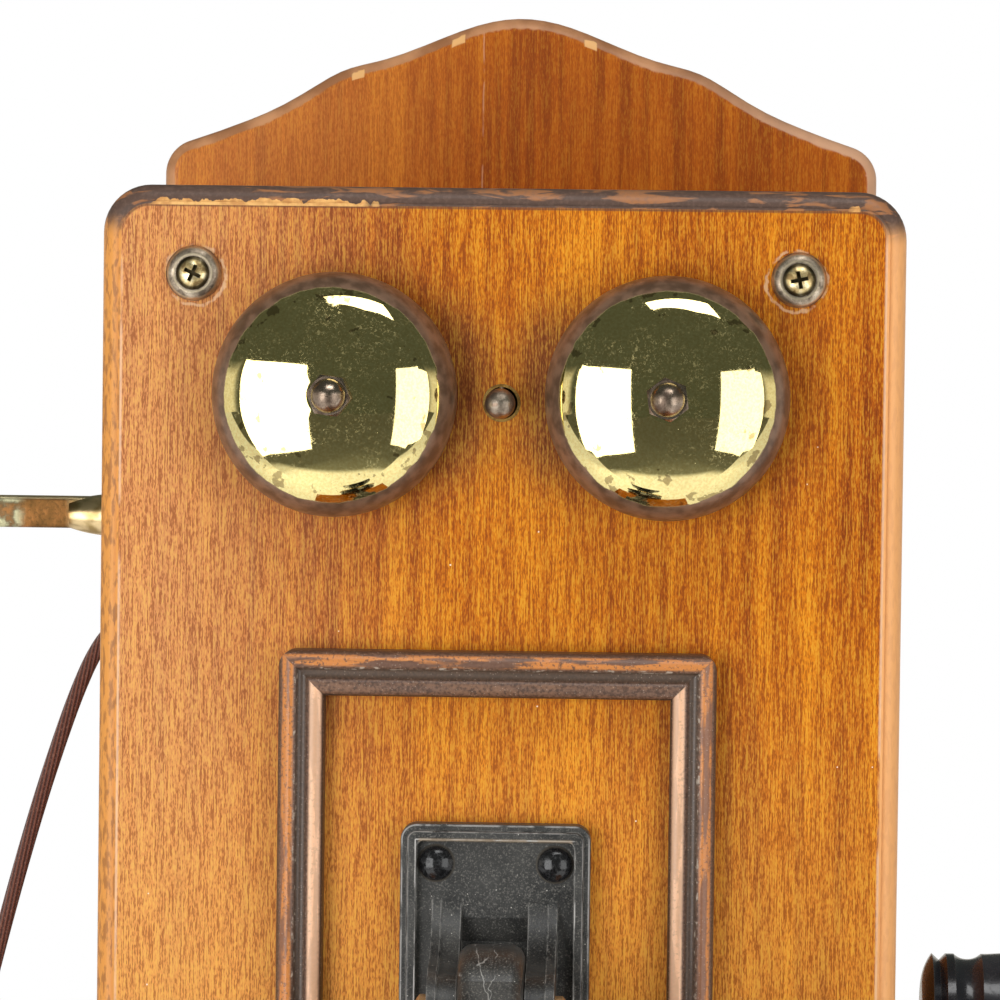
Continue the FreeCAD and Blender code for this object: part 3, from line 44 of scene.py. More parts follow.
def new_finish(name, roughness, metallic=0.0, coat=0.0, coat_roughness=0.12):
    """A blank finish: its material, node tree, shader and the place on the piece."""
    material = bpy.data.materials.new(name)
    material.use_nodes = True
    tree = material.node_tree
    shader = tree.nodes["Principled BSDF"]
    shader.inputs["Roughness"].default_value = roughness
    shader.inputs["Metallic"].default_value = metallic
    shader.inputs["Coat Weight"].default_value = coat
    shader.inputs["Coat Roughness"].default_value = coat_roughness
    return material, tree, shader, tree.nodes.new("ShaderNodeTexCoord").outputs["Object"]


def feed(tree, socket, value):
    """Link an output to a socket, or set a plain value on it."""
    if isinstance(value, bpy.types.NodeSocket):
        tree.links.new(value, socket)
    else:
        socket.default_value = value


def stretch(tree, place, scale, shift=(0.0, 0.0, 0.0)):
    """The place on the piece, scaled and shifted for a pattern."""
    node = tree.nodes.new("ShaderNodeMapping")
    feed(tree, node.inputs["Vector"], place)
    node.inputs["Scale"].default_value = scale
    node.inputs["Location"].default_value = shift
    return node.outputs["Vector"]


def mottle(tree, place, scale=1.0, detail=3.0, warp=0.0):
    """Cloudy pattern round a half, with about scale patches a metre."""
    node = tree.nodes.new("ShaderNodeTexNoise")
    feed(tree, node.inputs["Vector"], place)
    node.inputs["Scale"].default_value = scale
    node.inputs["Detail"].default_value = detail
    node.inputs["Distortion"].default_value = warp
    return node.outputs[0]


def fade(tree, value, start, end):
    """0 before start and 1 after end, smooth between them, in either direction."""
    node = tree.nodes.new("ShaderNodeMapRange")
    node.interpolation_type = "SMOOTHSTEP"
    feed(tree, node.inputs["Value"], value)
    node.inputs["From Min"].default_value = start
    node.inputs["From Max"].default_value = end
    return node.outputs["Result"]


def reckon(tree, operation, *values):
    """One sum on numbers."""
    node = tree.nodes.new("ShaderNodeMath")
    node.operation = operation
    for socket, value in zip(node.inputs, values):
        feed(tree, socket, value)
    return node.outputs[0]


def tint(tree, share, first, second, mode="MIX"):
    """Second colour over the first, by share."""
    node = tree.nodes.new("ShaderNodeMix")
    node.data_type = "RGBA"
    node.blend_type = mode
    feed(tree, node.inputs[0], share)
    feed(tree, node.inputs[6], first)
    feed(tree, node.inputs[7], second)
    return node.outputs[2]


def relief(tree, shader, height, depth):
    """Bumps of this depth in metres."""
    node = tree.nodes.new("ShaderNodeBump")
    node.inputs["Strength"].default_value = 1.0
    node.inputs["Distance"].default_value = depth
    feed(tree, node.inputs["Height"], height)
    tree.links.new(node.outputs["Normal"], shader.inputs["Normal"])


def coordinates(tree, place):
    """The place's x, y and z."""
    node = tree.nodes.new("ShaderNodeSeparateXYZ")
    feed(tree, node.inputs[0], place)
    return node.outputs[0], node.outputs[1], node.outputs[2]


def dress(material, *names):
    """Give carried-over pieces their finish."""
    for name in names:
        nodes[name].material_slots[0].material = material


def grainwise(tree, place, along, across, length):
    """The place scaled for a pattern that runs along one axis, in patches a metre."""
    scale = [across] * 3
    scale[along] = length
    return stretch(tree, place, scale)


def stained_wood(name, dark, middle, light, along, roughness=0.45, coat=0.1):
    """Lacquered birch with streaks and slow drifts of stain along one axis, before its pores."""
    material, tree, shader, place = new_finish(name, roughness, coat=coat, coat_roughness=0.2)
    shader.inputs["Specular IOR Level"].default_value = 0.22
    streaks = mottle(tree, grainwise(tree, place, along, 300.0, 11.0), detail=5.0)
    drift = mottle(tree, grainwise(tree, place, along, 24.0, 7.0), detail=2.0)
    figure = reckon(tree, "MULTIPLY_ADD", streaks, 0.6, reckon(tree, "MULTIPLY", drift, 0.4))
    colour = tint(tree, fade(tree, figure, 0.38, 0.51), dark, middle)
    colour = tint(tree, fade(tree, figure, 0.5, 0.64), colour, light)
    return material, tree, shader, place, colour


def pore_grain(tree, shader, place, along, colour, share):
    """Short dark pores and pale flecks along one axis, over a wood's colour."""
    pores = mottle(tree, grainwise(tree, place, along, 3600.0, 800.0), detail=1.0)
    fibres = mottle(tree, grainwise(tree, place, along, 2700.0, 100.0), detail=1.0)
    figure = reckon(tree, "MULTIPLY_ADD", fibres, 0.5, reckon(tree, "MULTIPLY", pores, 0.5))
    dashes = reckon(tree, "MULTIPLY", fade(tree, figure, 0.5, 0.4), share)
    colour = tint(tree, dashes, colour, paint(176, 146, 116), "MULTIPLY")
    flecks = reckon(tree, "MULTIPLY", fade(tree, figure, 0.5, 0.61), share)
    colour = tint(tree, flecks, colour, paint(154, 122, 36), "SCREEN")
    relief(tree, shader, figure, 0.00003)
    return colour


BOARD_DARK = paint(156, 74, 0)
BOARD_MIDDLE = paint(184, 94, 3)
BOARD_LIGHT = paint(206, 116, 14)
BOARD_FACE_Y = -0.016
BOARD_ROUND = 0.004
CRACK_X = -0.0103
CHIPS_X = (-0.0471, -0.0181, 0.0199)
board_wood, tree, shader, place, colour = stained_wood(
    "backboard lacquer", BOARD_DARK, BOARD_MIDDLE, BOARD_LIGHT, 2)
x, y, z = coordinates(tree, place)
# Painted sheen: the left part of the board is painted paler, standing in for the left lamp's glare.
painted_left_sheen = reckon(tree, "MULTIPLY", fade(tree, x, 0.0, -0.08), 0.4)
colour = tint(tree, painted_left_sheen, colour, paint(216, 140, 72))
colour = pore_grain(tree, shader, place, 2, colour, 0.35)
wander = reckon(tree, "MULTIPLY", mottle(tree, place, 60.0), 0.0012)
off_crack = reckon(tree, "ABSOLUTE", reckon(tree, "ADD", reckon(tree, "SUBTRACT", x, CRACK_X), wander))
crack = reckon(tree, "MULTIPLY", fade(tree, off_crack, 0.0003, 0.0001), 0.45)
crack = reckon(tree, "MULTIPLY", crack, fade(tree, mottle(tree, place, 120.0), 0.4, 0.55))
colour = tint(tree, crack, colour, paint(222, 178, 140))
smudge = mottle(tree, stretch(tree, place, (70.0, 70.0, 70.0)), detail=5.0)
nicked = reckon(tree, "MULTIPLY_ADD", smudge, 0.0003, y)
bullnose = fade(tree, nicked, BOARD_FACE_Y + 0.00026, BOARD_FACE_Y + 0.00042)
round_end = BOARD_FACE_Y + BOARD_ROUND
bullnose = reckon(tree, "MULTIPLY", bullnose, fade(tree, y, round_end + 0.0016, round_end))
dusty = tint(tree, fade(tree, smudge, 0.35, 0.65), paint(158, 110, 74), paint(204, 150, 106))
dusty = tint(tree, reckon(tree, "MULTIPLY", fade(tree, x, 0.03, 0.1), 0.6), dusty, paint(224, 180, 146))
colour = tint(tree, reckon(tree, "MULTIPLY", bullnose, 0.92), colour, dusty)
ragged = reckon(tree, "MULTIPLY_ADD", mottle(tree, place, 420.0, 4.0), 0.0012, y)
near_edge = reckon(tree, "MULTIPLY", fade(tree, ragged, BOARD_FACE_Y + 0.0016, BOARD_FACE_Y + 0.0013),
                   fade(tree, y, BOARD_FACE_Y, BOARD_FACE_Y + 0.00005))
for chip_x in CHIPS_X:
    off_chip = reckon(tree, "ABSOLUTE", reckon(tree, "SUBTRACT", x, chip_x))
    off_chip = reckon(tree, "MULTIPLY_ADD", smudge, 0.003, off_chip)
    chip = reckon(tree, "MULTIPLY", fade(tree, off_chip, 0.0034, 0.003), near_edge)
    colour = tint(tree, chip, colour, paint(236, 184, 118))
scuffs = fade(tree, mottle(tree, stretch(tree, place, (90.0, 60.0, 160.0)), detail=3.0), 0.73, 0.76)
colour = tint(tree, reckon(tree, "MULTIPLY", scuffs, 0.4), colour, paint(232, 186, 132))
tree.links.new(colour, shader.inputs["Base Color"])
dress(board_wood, "backboard")

# Case: two sides, a top and a bottom of the same stained birch, butted and glued behind the panel.
# Four softwood blocks in its corners take the panel's screws and are left bare.
upright_wood, tree, shader, place, colour = stained_wood(
    "case lacquer upright", BOARD_DARK, BOARD_MIDDLE, BOARD_LIGHT, 2)
tree.links.new(pore_grain(tree, shader, place, 2, colour, 0.6), shader.inputs["Base Color"])
dress(upright_wood, "side_left", "side_right")
level_wood, tree, shader, place, colour = stained_wood(
    "case lacquer level", BOARD_DARK, BOARD_MIDDLE, BOARD_LIGHT, 0)
tree.links.new(pore_grain(tree, shader, place, 0, colour, 0.6), shader.inputs["Base Color"])
dress(level_wood, "top_board", "bottom_board")
bare_wood, tree, shader, place, colour = stained_wood(
    "bare softwood", paint(176, 134, 86), paint(200, 160, 108), paint(216, 180, 130), 1, 0.65, 0.0)
tree.links.new(pore_grain(tree, shader, place, 1, colour, 0.4), shader.inputs["Base Color"])
dress(bare_wood, "panel_blocks")

# Front panel: a birch board with a quarter-round edge, stained, antiqued and lacquered.
# The top edge is rubbed dark and chipped to bare wood, the sides are mottled and the field is orange.
# Shade from the gongs is painted round them as a dark halo, strongest between them, the left of the field is
# painted paler as a sheen, a highlight is painted along the edge's step, and the washers have scarred the
# lacquer round them.
PANEL_HALF_WIDTH = 0.105
PANEL_HALF_HEIGHT = 0.1725
PANEL_CORNER = 0.0125
EDGE_LINE = 0.0052
BELL_X = 0.0432
BELL_Z = 0.1183
SCREW_X = 0.0789
SCREW_SHIFT = -0.0019
SCREW_Z = 0.1494


def box_margin(tree, x, z, half_width, half_height, corner):
    """Distance in from the edge of a round-cornered rectangle, up to the corner's radius."""
    over_x = reckon(tree, "SUBTRACT", reckon(tree, "ABSOLUTE", x), half_width - corner)
    over_x = reckon(tree, "MAXIMUM", over_x, 0.0)
    over_z = reckon(tree, "SUBTRACT", reckon(tree, "ABSOLUTE", z), half_height - corner)
    over_z = reckon(tree, "MAXIMUM", over_z, 0.0)
    square = reckon(tree, "MULTIPLY_ADD", over_x, over_x, reckon(tree, "MULTIPLY", over_z, over_z))
    return reckon(tree, "SUBTRACT", corner, reckon(tree, "SQRT", square))


def ring_distance(tree, x, z, middle_x, middle_z):
    """Distance from the nearest of four mirrored centres in the panel's plane."""
    away_x = reckon(tree, "SUBTRACT", reckon(tree, "ABSOLUTE", x), middle_x)
    away_z = reckon(tree, "SUBTRACT", reckon(tree, "ABSOLUTE", z), middle_z)
    square = reckon(tree, "MULTIPLY_ADD", away_x, away_x, reckon(tree, "MULTIPLY", away_z, away_z))
    return reckon(tree, "SQRT", square)


def dust_specks(tree, place, scale, size, share):
    """Scattered pale specks, one at most in each cell of the scale."""
    node = tree.nodes.new("ShaderNodeTexVoronoi")
    feed(tree, node.inputs["Vector"], place)
    node.inputs["Scale"].default_value = scale
    chance = tree.nodes.new("ShaderNodeSeparateColor")
    tree.links.new(node.outputs["Color"], chance.inputs[0])
    chosen = reckon(tree, "LESS_THAN", chance.outputs[0], share)
    return reckon(tree, "MULTIPLY", fade(tree, node.outputs["Distance"], size, size * 0.5), chosen)


panel_wood, tree, shader, place, colour = stained_wood(
    "front panel lacquer", paint(162, 77, 0), paint(191, 101, 1), paint(217, 127, 8), 2, 0.42)
x, y, z = coordinates(tree, place)
margin = box_margin(tree, x, z, PANEL_HALF_WIDTH, PANEL_HALF_HEIGHT, PANEL_CORNER)
# Painted sheen: the left part of the field is painted paler, standing in for the left lamp's glare.
painted_left_sheen = reckon(tree, "MULTIPLY", fade(tree, x, -0.01, -0.1), 0.65)
colour = tint(tree, painted_left_sheen, colour, paint(220, 154, 100))
lower = reckon(tree, "MULTIPLY", fade(tree, z, 0.07, -0.07), 0.6)
lower = reckon(tree, "MULTIPLY", lower, fade(tree, x, 0.2, 0.03))
colour = tint(tree, lower, colour, paint(242, 166, 72))
# Painted shadow: a dark halo round each gong, strongest between the gongs, standing in for their shade on
# the panel.
from_bell = ring_distance(tree, x, reckon(tree, "SUBTRACT", z, BELL_Z), BELL_X, 0.0)
inwards = reckon(tree, "MULTIPLY_ADD", fade(tree, reckon(tree, "ABSOLUTE", x), 0.034, 0.008), 0.85, 0.1)
beside = fade(tree, reckon(tree, "ABSOLUTE", reckon(tree, "SUBTRACT", z, BELL_Z)), 0.034, 0.014)
inwards = reckon(tree, "MULTIPLY_ADD", beside, inwards, 0.08)
painted_shade = reckon(tree, "MULTIPLY", fade(tree, from_bell, 0.052, 0.030), inwards)
colour = tint(tree, painted_shade, colour, paint(140, 76, 30))
colour = pore_grain(tree, shader, place, 2, colour, 0.75)
washer_x = reckon(tree, "SUBTRACT", x, SCREW_SHIFT)
from_scar = ring_distance(tree, washer_x, z, SCREW_X - 0.0006, SCREW_Z - 0.0004)
scar_grain = mottle(tree, place, 420.0, 4.0)
from_scar = reckon(tree, "MULTIPLY_ADD", scar_grain, 0.0022, from_scar)
scar = reckon(tree, "MULTIPLY", fade(tree, from_scar, 0.0084, 0.0087), fade(tree, from_scar, 0.0096, 0.0091))
scar = reckon(tree, "MULTIPLY", scar, fade(tree, mottle(tree, place, 300.0), 0.42, 0.56))
colour = tint(tree, reckon(tree, "MULTIPLY", scar, 0.6), colour, paint(236, 196, 156))
edge = fade(tree, margin, EDGE_LINE + 0.0002, EDGE_LINE - 0.0003)
upper = fade(tree, z, 0.158, 0.1655)
smoke = mottle(tree, stretch(tree, place, (70.0, 300.0, 300.0)), detail=6.0, warp=0.6)
top_edge = tint(tree, fade(tree, smoke, 0.53, 0.59), paint(92, 72, 62), paint(166, 112, 72))
bloom = mottle(tree, stretch(tree, place, (900.0, 900.0, 900.0)), detail=3.0)
bloom = reckon(tree, "MULTIPLY", fade(tree, bloom, 0.4, 0.7), 0.4)
top_edge = tint(tree, bloom, top_edge, paint(122, 98, 84))
ragged = mottle(tree, stretch(tree, place, (240.0, 30.0, 30.0)), detail=10.0)
left_run = reckon(tree, "MULTIPLY", fade(tree, x, -0.0935, -0.0905), fade(tree, x, -0.034, -0.037))
breaks = mottle(tree, stretch(tree, place, (60.0, 2.0, 2.0), (0.35, 0.0, 0.0)), detail=2.0)
breaks = fade(tree, breaks, 0.36, 0.42)
strays = mottle(tree, stretch(tree, place, (120.0, 2.0, 2.0), (7.3, 0.0, 0.0)), detail=2.0)
strays = fade(tree, strays, 0.66, 0.7)
lasting = reckon(tree, "MAXIMUM", reckon(tree, "MULTIPLY", left_run, breaks), strays)
chip_depth = reckon(tree, "MULTIPLY_ADD", fade(tree, ragged, 0.32, 0.62), 0.0016, 0.0004)
chip_line = reckon(tree, "MULTIPLY_ADD", chip_depth, lasting, margin)
chipped = reckon(tree, "MULTIPLY", fade(tree, chip_line, EDGE_LINE - 0.00005, EDGE_LINE + 0.0001),
                 fade(tree, margin, EDGE_LINE + 0.0002, EDGE_LINE))
chipped = reckon(tree, "MULTIPLY", reckon(tree, "MULTIPLY", chipped, lasting), upper)
blotches = fade(tree, mottle(tree, stretch(tree, place, (900.0, 900.0, 260.0)), detail=6.0), 0.46, 0.62)
left_edge = tint(tree, reckon(tree, "MULTIPLY", blotches, 0.7), paint(224, 152, 74), paint(150, 96, 54))
right_edge = tint(tree, reckon(tree, "MULTIPLY", blotches, 0.25), paint(238, 172, 108), paint(204, 140, 92))
side_edge = tint(tree, fade(tree, x, -0.02, 0.02), left_edge, right_edge)
colour = tint(tree, edge, colour, tint(tree, upper, side_edge, top_edge))
bare_chip = tint(tree, fade(tree, scar_grain, 0.35, 0.65), paint(204, 146, 84), paint(236, 184, 112))
colour = tint(tree, chipped, colour, bare_chip)
# Painted highlight: a pale line along the step where the quarter-round meets the field, broken in places and
# kept off the top edge.
ridge_highlight = reckon(tree, "MULTIPLY", fade(tree, margin, EDGE_LINE - 0.0003, EDGE_LINE),
               fade(tree, margin, EDGE_LINE + 0.0007, EDGE_LINE + 0.0002))
ridge_highlight_breakup = mottle(tree, stretch(tree, place, (90.0, 90.0, 30.0)))
ridge_highlight = reckon(tree, "MULTIPLY", ridge_highlight, fade(tree, ridge_highlight_breakup, 0.34, 0.48))
ridge_highlight = reckon(tree, "MULTIPLY", ridge_highlight, fade(tree, z, 0.166, 0.156))
colour = tint(tree, reckon(tree, "MULTIPLY", ridge_highlight, 0.6), colour, paint(244, 206, 172))
seam = reckon(tree, "MULTIPLY", fade(tree, margin, EDGE_LINE - 0.0002, EDGE_LINE + 0.0001),
              fade(tree, margin, EDGE_LINE + 0.0007, EDGE_LINE + 0.0003))
seam = reckon(tree, "MULTIPLY", reckon(tree, "MULTIPLY", seam, upper), 0.7)
unchipped = reckon(tree, "SUBTRACT", 1.0, chipped)
colour = tint(tree, reckon(tree, "MULTIPLY", seam, unchipped), colour, paint(96, 66, 48))
colour = tint(tree, dust_specks(tree, place, 115.0, 0.032, 0.55), colour, paint(250, 238, 218))
tree.links.new(colour, shader.inputs["Base Color"])
dress(panel_wood, "front_panel")

# Panel screws and cup washers: tarnished brass wood screws with a cross recess, in turned cup washers.
# The washers have gone dark bronze, with highlights painted in two pale rings along their turned edges.
WASHER_HIGHLIGHT_RINGS = (0.0049, 0.0066)
SCREW_RECESS_Y = -0.1572


def aged_metal(name, bright, middle, dark, roughness, scale):
    """Metal that has tarnished in patches, duller where it is darker."""
    material, tree, shader, place = new_finish(name, roughness, 1.0)
    patches = mottle(tree, place, scale, 6.0, 0.4)
    grain = mottle(tree, place, scale * 9.0, 3.0)
    colour = tint(tree, fade(tree, patches, 0.36, 0.5), dark, middle)
    colour = tint(tree, fade(tree, patches, 0.5, 0.64), colour, bright)
    colour = tint(tree, reckon(tree, "MULTIPLY", fade(tree, grain, 0.5, 0.34), 0.5), colour, dark)
    dull = reckon(tree, "MULTIPLY_ADD", fade(tree, patches, 0.62, 0.38), 0.2, roughness)
    tree.links.new(dull, shader.inputs["Roughness"])
    relief(tree, shader, grain, 0.00002)
    return material, tree, shader, place, colour


washer_bronze, tree, shader, place, colour = aged_metal(
    "cup washer bronze", paint(198, 183, 162), paint(166, 151, 132), paint(116, 104, 90), 0.36, 340.0)
x, y, z = coordinates(tree, place)
from_screw = ring_distance(tree, reckon(tree, "SUBTRACT", x, SCREW_SHIFT), z, SCREW_X, SCREW_Z)
# Painted highlights: two pale rings on each washer, where its turned edges catch the light.
for highlight_r in WASHER_HIGHLIGHT_RINGS:
    highlight_ring = reckon(tree, "ABSOLUTE", reckon(tree, "SUBTRACT", from_screw, highlight_r))
    highlight_ring = reckon(tree, "MULTIPLY", fade(tree, highlight_ring, 0.0004, 0.0001), 0.5)
    colour = tint(tree, highlight_ring, colour, paint(220, 204, 170))
tree.links.new(colour, shader.inputs["Base Color"])
dress(washer_bronze, "cup_washers")

screw_brass, tree, shader, place, colour = aged_metal(
    "screw brass", paint(246, 230, 186), paint(220, 196, 140), paint(150, 126, 84), 0.3, 420.0)
x, y, z = coordinates(tree, place)
# Painted shade: the cross recess is painted near black below its rim.
painted_shade = reckon(tree, "MULTIPLY", fade(tree, y, SCREW_RECESS_Y - 0.0006, SCREW_RECESS_Y), 0.92)
colour = tint(tree, painted_shade, colour, paint(30, 24, 18))
tree.links.new(colour, shader.inputs["Base Color"])
dress(screw_brass, "panel_screws")

# Moulding: four strips of dark-stained beech, run with two beads and a cove, mitred and glued to the panel.
# The stain has rubbed through to tan wood on the bead crowns, and grey polish dust lies in the cove. The
# upright strips are painted lighter on their beads as highlights, and a dark painted shadow runs along every
# strip's inner foot.
MOULDING_HALF_WIDTH = 0.057
MOULDING_HALF_HEIGHT = 0.0825
MOULDING_MIDDLE_Z = -0.0307
COVE_START = 0.0044
COVE_END = 0.0078
STRIP_FOOT = 0.0116


def moulding_stain(name, along):
    """Dark stain across the strip's beads and cove, rubbed through on the crowns, with painted highlights on
    upright strips and a painted shadow at the foot.
    """
    material, tree, shader, place = new_finish(name, 0.42, coat=0.12, coat_roughness=0.2)
    x, y, z = coordinates(tree, place)
    level = reckon(tree, "SUBTRACT", z, MOULDING_MIDDLE_Z)
    in_x = reckon(tree, "SUBTRACT", MOULDING_HALF_WIDTH, reckon(tree, "ABSOLUTE", x))
    in_z = reckon(tree, "SUBTRACT", MOULDING_HALF_HEIGHT, reckon(tree, "ABSOLUTE", level))
    across = reckon(tree, "MINIMUM", in_x, in_z)
    grain = mottle(tree, place, 1300.0, 4.0)
    colour = tint(tree, fade(tree, grain, 0.34, 0.66), paint(82, 60, 48), paint(122, 92, 74))
    rub_scale = [420.0] * 3
    rub_scale[along] = 60.0
    rubbed = fade(tree, mottle(tree, stretch(tree, place, rub_scale), detail=8.0), 0.45, 0.55)
    rubbed = reckon(tree, "MULTIPLY", rubbed, fade(tree, grain, 0.3, 0.5))
    outer = reckon(tree, "MULTIPLY", fade(tree, across, 0.0008, 0.0014),
                   fade(tree, across, COVE_START, COVE_START - 0.0008))
    # Painted light: the outer bead is painted lighter on the upright strips than on the level ones, as the
    # side lamps light them.
    outer_bead_painted_light = paint(150, 98, 66) if along == 2 else paint(112, 78, 60)
    colour = tint(tree, reckon(tree, "MULTIPLY", outer, 0.7), colour, outer_bead_painted_light)
    colour = tint(tree, reckon(tree, "MULTIPLY", outer, rubbed), colour, paint(206, 130, 62))
    cove = reckon(tree, "MULTIPLY", fade(tree, across, COVE_START, COVE_START + 0.0006),
                  fade(tree, across, COVE_END, COVE_END - 0.001))
    colour = tint(tree, reckon(tree, "MULTIPLY", cove, 0.7), colour, paint(84, 70, 58))
    inner = reckon(tree, "MULTIPLY", fade(tree, across, COVE_END, COVE_END + 0.0008),
                   fade(tree, across, STRIP_FOOT, STRIP_FOOT - 0.0008))
    # Painted highlight: on the upright strips the inner bead is painted pale; on the level strips only
    # rubbed patches turn tan.
    share = reckon(tree, "MULTIPLY_ADD", rubbed, 0.3, 0.7 if along == 2 else 0.0)
    bare = paint(240, 190, 150) if along == 2 else paint(150, 108, 78)
    colour = tint(tree, reckon(tree, "MULTIPLY", inner, share), colour, bare)
    # Painted shadow: a near-black line along the inner foot, where the strip meets the panel.
    foot_shadow = reckon(tree, "MULTIPLY", fade(tree, across, STRIP_FOOT - 0.0003, STRIP_FOOT + 0.0001), 0.85)
    colour = tint(tree, foot_shadow, colour, paint(44, 32, 26))
    rim = reckon(tree, "MULTIPLY", fade(tree, across, 0.0009, 0.0003), 0.75)
    colour = tint(tree, rim, colour, paint(62, 46, 38))
    powder = dust_specks(tree, place, 1500.0, 0.3, 0.35)
    colour = tint(tree, reckon(tree, "MULTIPLY", powder, 0.4), colour, paint(190, 172, 154))
    lint = reckon(tree, "MULTIPLY", fade(tree, across, COVE_START - 0.0004, COVE_START - 0.0001),
                  fade(tree, across, COVE_START + 0.0008, COVE_START + 0.0004))
    lint = reckon(tree, "MULTIPLY", lint, fade(tree, mottle(tree, place, 500.0, 5.0), 0.54, 0.66))
    colour = tint(tree, reckon(tree, "MULTIPLY", lint, 0.8), colour, paint(196, 182, 164))
    tree.links.new(colour, shader.inputs["Base Color"])
    relief(tree, shader, grain, 0.00005)
    return material


dress(moulding_stain("moulding stain level", 0), "moulding_top", "moulding_bottom")
dress(moulding_stain("moulding stain upright", 2), "moulding_left", "moulding_right")

# Writing shelf: a sloping birch board with a rounded front edge, on two sawn brackets.
# Stained and lacquered like the panel, with the pale wear of forearms along its front.
SHELF_FRONT_Y = -0.2596
shelf_wood, tree, shader, place, colour = stained_wood(
    "shelf lacquer", paint(166, 80, 2), paint(194, 104, 8), paint(220, 132, 22), 0, 0.42)
x, y, z = coordinates(tree, place)
colour = pore_grain(tree, shader, place, 0, colour, 0.8)
front = reckon(tree, "MULTIPLY", fade(tree, y, SHELF_FRONT_Y + 0.012, SHELF_FRONT_Y),
               fade(tree, mottle(tree, stretch(tree, place, (40.0, 220.0, 220.0)), detail=5.0), 0.4, 0.6))
colour = tint(tree, reckon(tree, "MULTIPLY", front, 0.7), colour, paint(224, 170, 116))
tree.links.new(colour, shader.inputs["Base Color"])
dress(shelf_wood, "writing_shelf")
bracket_wood, tree, shader, place, colour = stained_wood(
    "shelf bracket lacquer", BOARD_DARK, BOARD_MIDDLE, BOARD_LIGHT, 1)
tree.links.new(pore_grain(tree, shader, place, 1, colour, 0.6), shader.inputs["Base Color"])
dress(bracket_wood, "shelf_brackets")

# Bells: two gongs pressed from brass sheet and polished, on steel posts, held by dark bronze acorn nuts.
# The polish is specked with dust and fingermarks, and the rim has gone brown where nobody rubs it.
DOME_R = 0.0277
bell_brass, tree, shader, place = new_finish("bell brass", 0.05, 1.0)
x, y, z = coordinates(tree, place)
from_axis = ring_distance(tree, x, z, BELL_X, BELL_Z)
film = mottle(tree, place, 1500.0, 4.0)
colour = tint(tree, fade(tree, film, 0.35, 0.65), paint(226, 206, 138), paint(238, 222, 156))
lint = mottle(tree, place, 1150.0, 9.0, 1.4)
patchy = fade(tree, mottle(tree, place, 95.0, 3.0), 0.3, 0.7)
lint = reckon(tree, "MULTIPLY", fade(tree, lint, 0.52, 0.7), reckon(tree, "MULTIPLY", patchy, 0.3))
specks = reckon(tree, "MULTIPLY", dust_specks(tree, place, 420.0, 0.06, 0.35), 0.9)
dust = reckon(tree, "MAXIMUM", lint, specks)
stains = mottle(tree, place, 240.0, 5.0)
dome_edge = reckon(tree, "MULTIPLY_ADD", stains, 0.0012, from_axis)
rim = fade(tree, dome_edge, DOME_R + 0.0004, DOME_R + 0.0008)
varnish = tint(tree, fade(tree, stains, 0.35, 0.65), paint(98, 74, 56), paint(136, 106, 84))
spots = fade(tree, reckon(tree, "MULTIPLY_ADD", from_axis, 9.0, stains), 0.84, 0.87)
colour = tint(tree, reckon(tree, "MULTIPLY", spots, 0.6), colour, paint(104, 74, 40))
colour = tint(tree, rim, colour, varnish)
tree.links.new(colour, shader.inputs["Base Color"])
haze = reckon(tree, "MULTIPLY_ADD", fade(tree, film, 0.5, 0.75), 0.03, 0.03)
haze = reckon(tree, "MULTIPLY_ADD", dust, 0.5, haze)
tree.links.new(reckon(tree, "MULTIPLY_ADD", rim, 0.26, haze), shader.inputs["Roughness"])
metal = reckon(tree, "MULTIPLY_ADD", reckon(tree, "MAXIMUM", dust, rim), -0.7, 1.0)
tree.links.new(metal, shader.inputs["Metallic"])
relief(tree, shader, mottle(tree, place, 70.0, 1.0), 0.00001)
dress(bell_brass, "bell_left", "bell_right")

nut_bronze, tree, shader, place, colour = aged_metal(
    "acorn nut bronze", paint(178, 160, 142), paint(146, 128, 112), paint(104, 88, 76), 0.24, 260.0)
tree.links.new(colour, shader.inputs["Base Color"])
dress(nut_bronze, "bell_nuts")


def drawn_steel(name, bright, dark, roughness, rust=0.3):
    """Bright steel gone grey, with rust freckles."""
    material, tree, shader, place, colour = aged_metal(
        name, bright, [(a + b) / 2 for a, b in zip(bright, dark)], dark, roughness, 300.0)
    freckles = fade(tree, mottle(tree, place, 520.0, 5.0), 0.6, 0.68)
    colour = tint(tree, reckon(tree, "MULTIPLY", freckles, rust), colour, paint(112, 66, 38))
    tree.links.new(colour, shader.inputs["Base Color"])
    return material


grey_steel = drawn_steel("grey steel", paint(176, 172, 164), paint(112, 108, 102), 0.3)
dress(grey_steel, "bell_posts", "transmitter_diaphragm", "receiver_diaphragm")

# Clapper: a dark steel ball on a wire rod that rocks on a pin, in a brass bushing through the panel.
# Behind the panel an iron armature, two wound coils on a frame and a bar magnet drive it.
ball_steel = drawn_steel("clapper ball steel", paint(186, 172, 154), paint(124, 110, 96), 0.32, 0.35)
dress(ball_steel, "clapper_ball", "clapper_rod", "clapper_pin")

plain_brass, tree, shader, place, colour = aged_metal(
    "plain brass", paint(212, 176, 104), paint(182, 144, 78), paint(122, 92, 50), 0.3, 240.0)
tree.links.new(colour, shader.inputs["Base Color"])
dress(plain_brass, "clapper_bushing", "crank_bushing", "crank_wheel", "rotor_pinion", "handle_nut",
      "hook_contacts")


def worn_edges(tree, radius, start, end):
    """1 along the edges of a piece, within about a radius of them."""
    node = tree.nodes.new("ShaderNodeBevel")
    node.samples = 6
    node.inputs["Radius"].default_value = radius
    facing = tree.nodes.new("ShaderNodeNewGeometry").outputs["Normal"]
    turn = tree.nodes.new("ShaderNodeVectorMath")
    turn.operation = "DOT_PRODUCT"
    tree.links.new(node.outputs["Normal"], turn.inputs[0])
    tree.links.new(facing, turn.inputs[1])
    return fade(tree, turn.outputs["Value"], start, end)


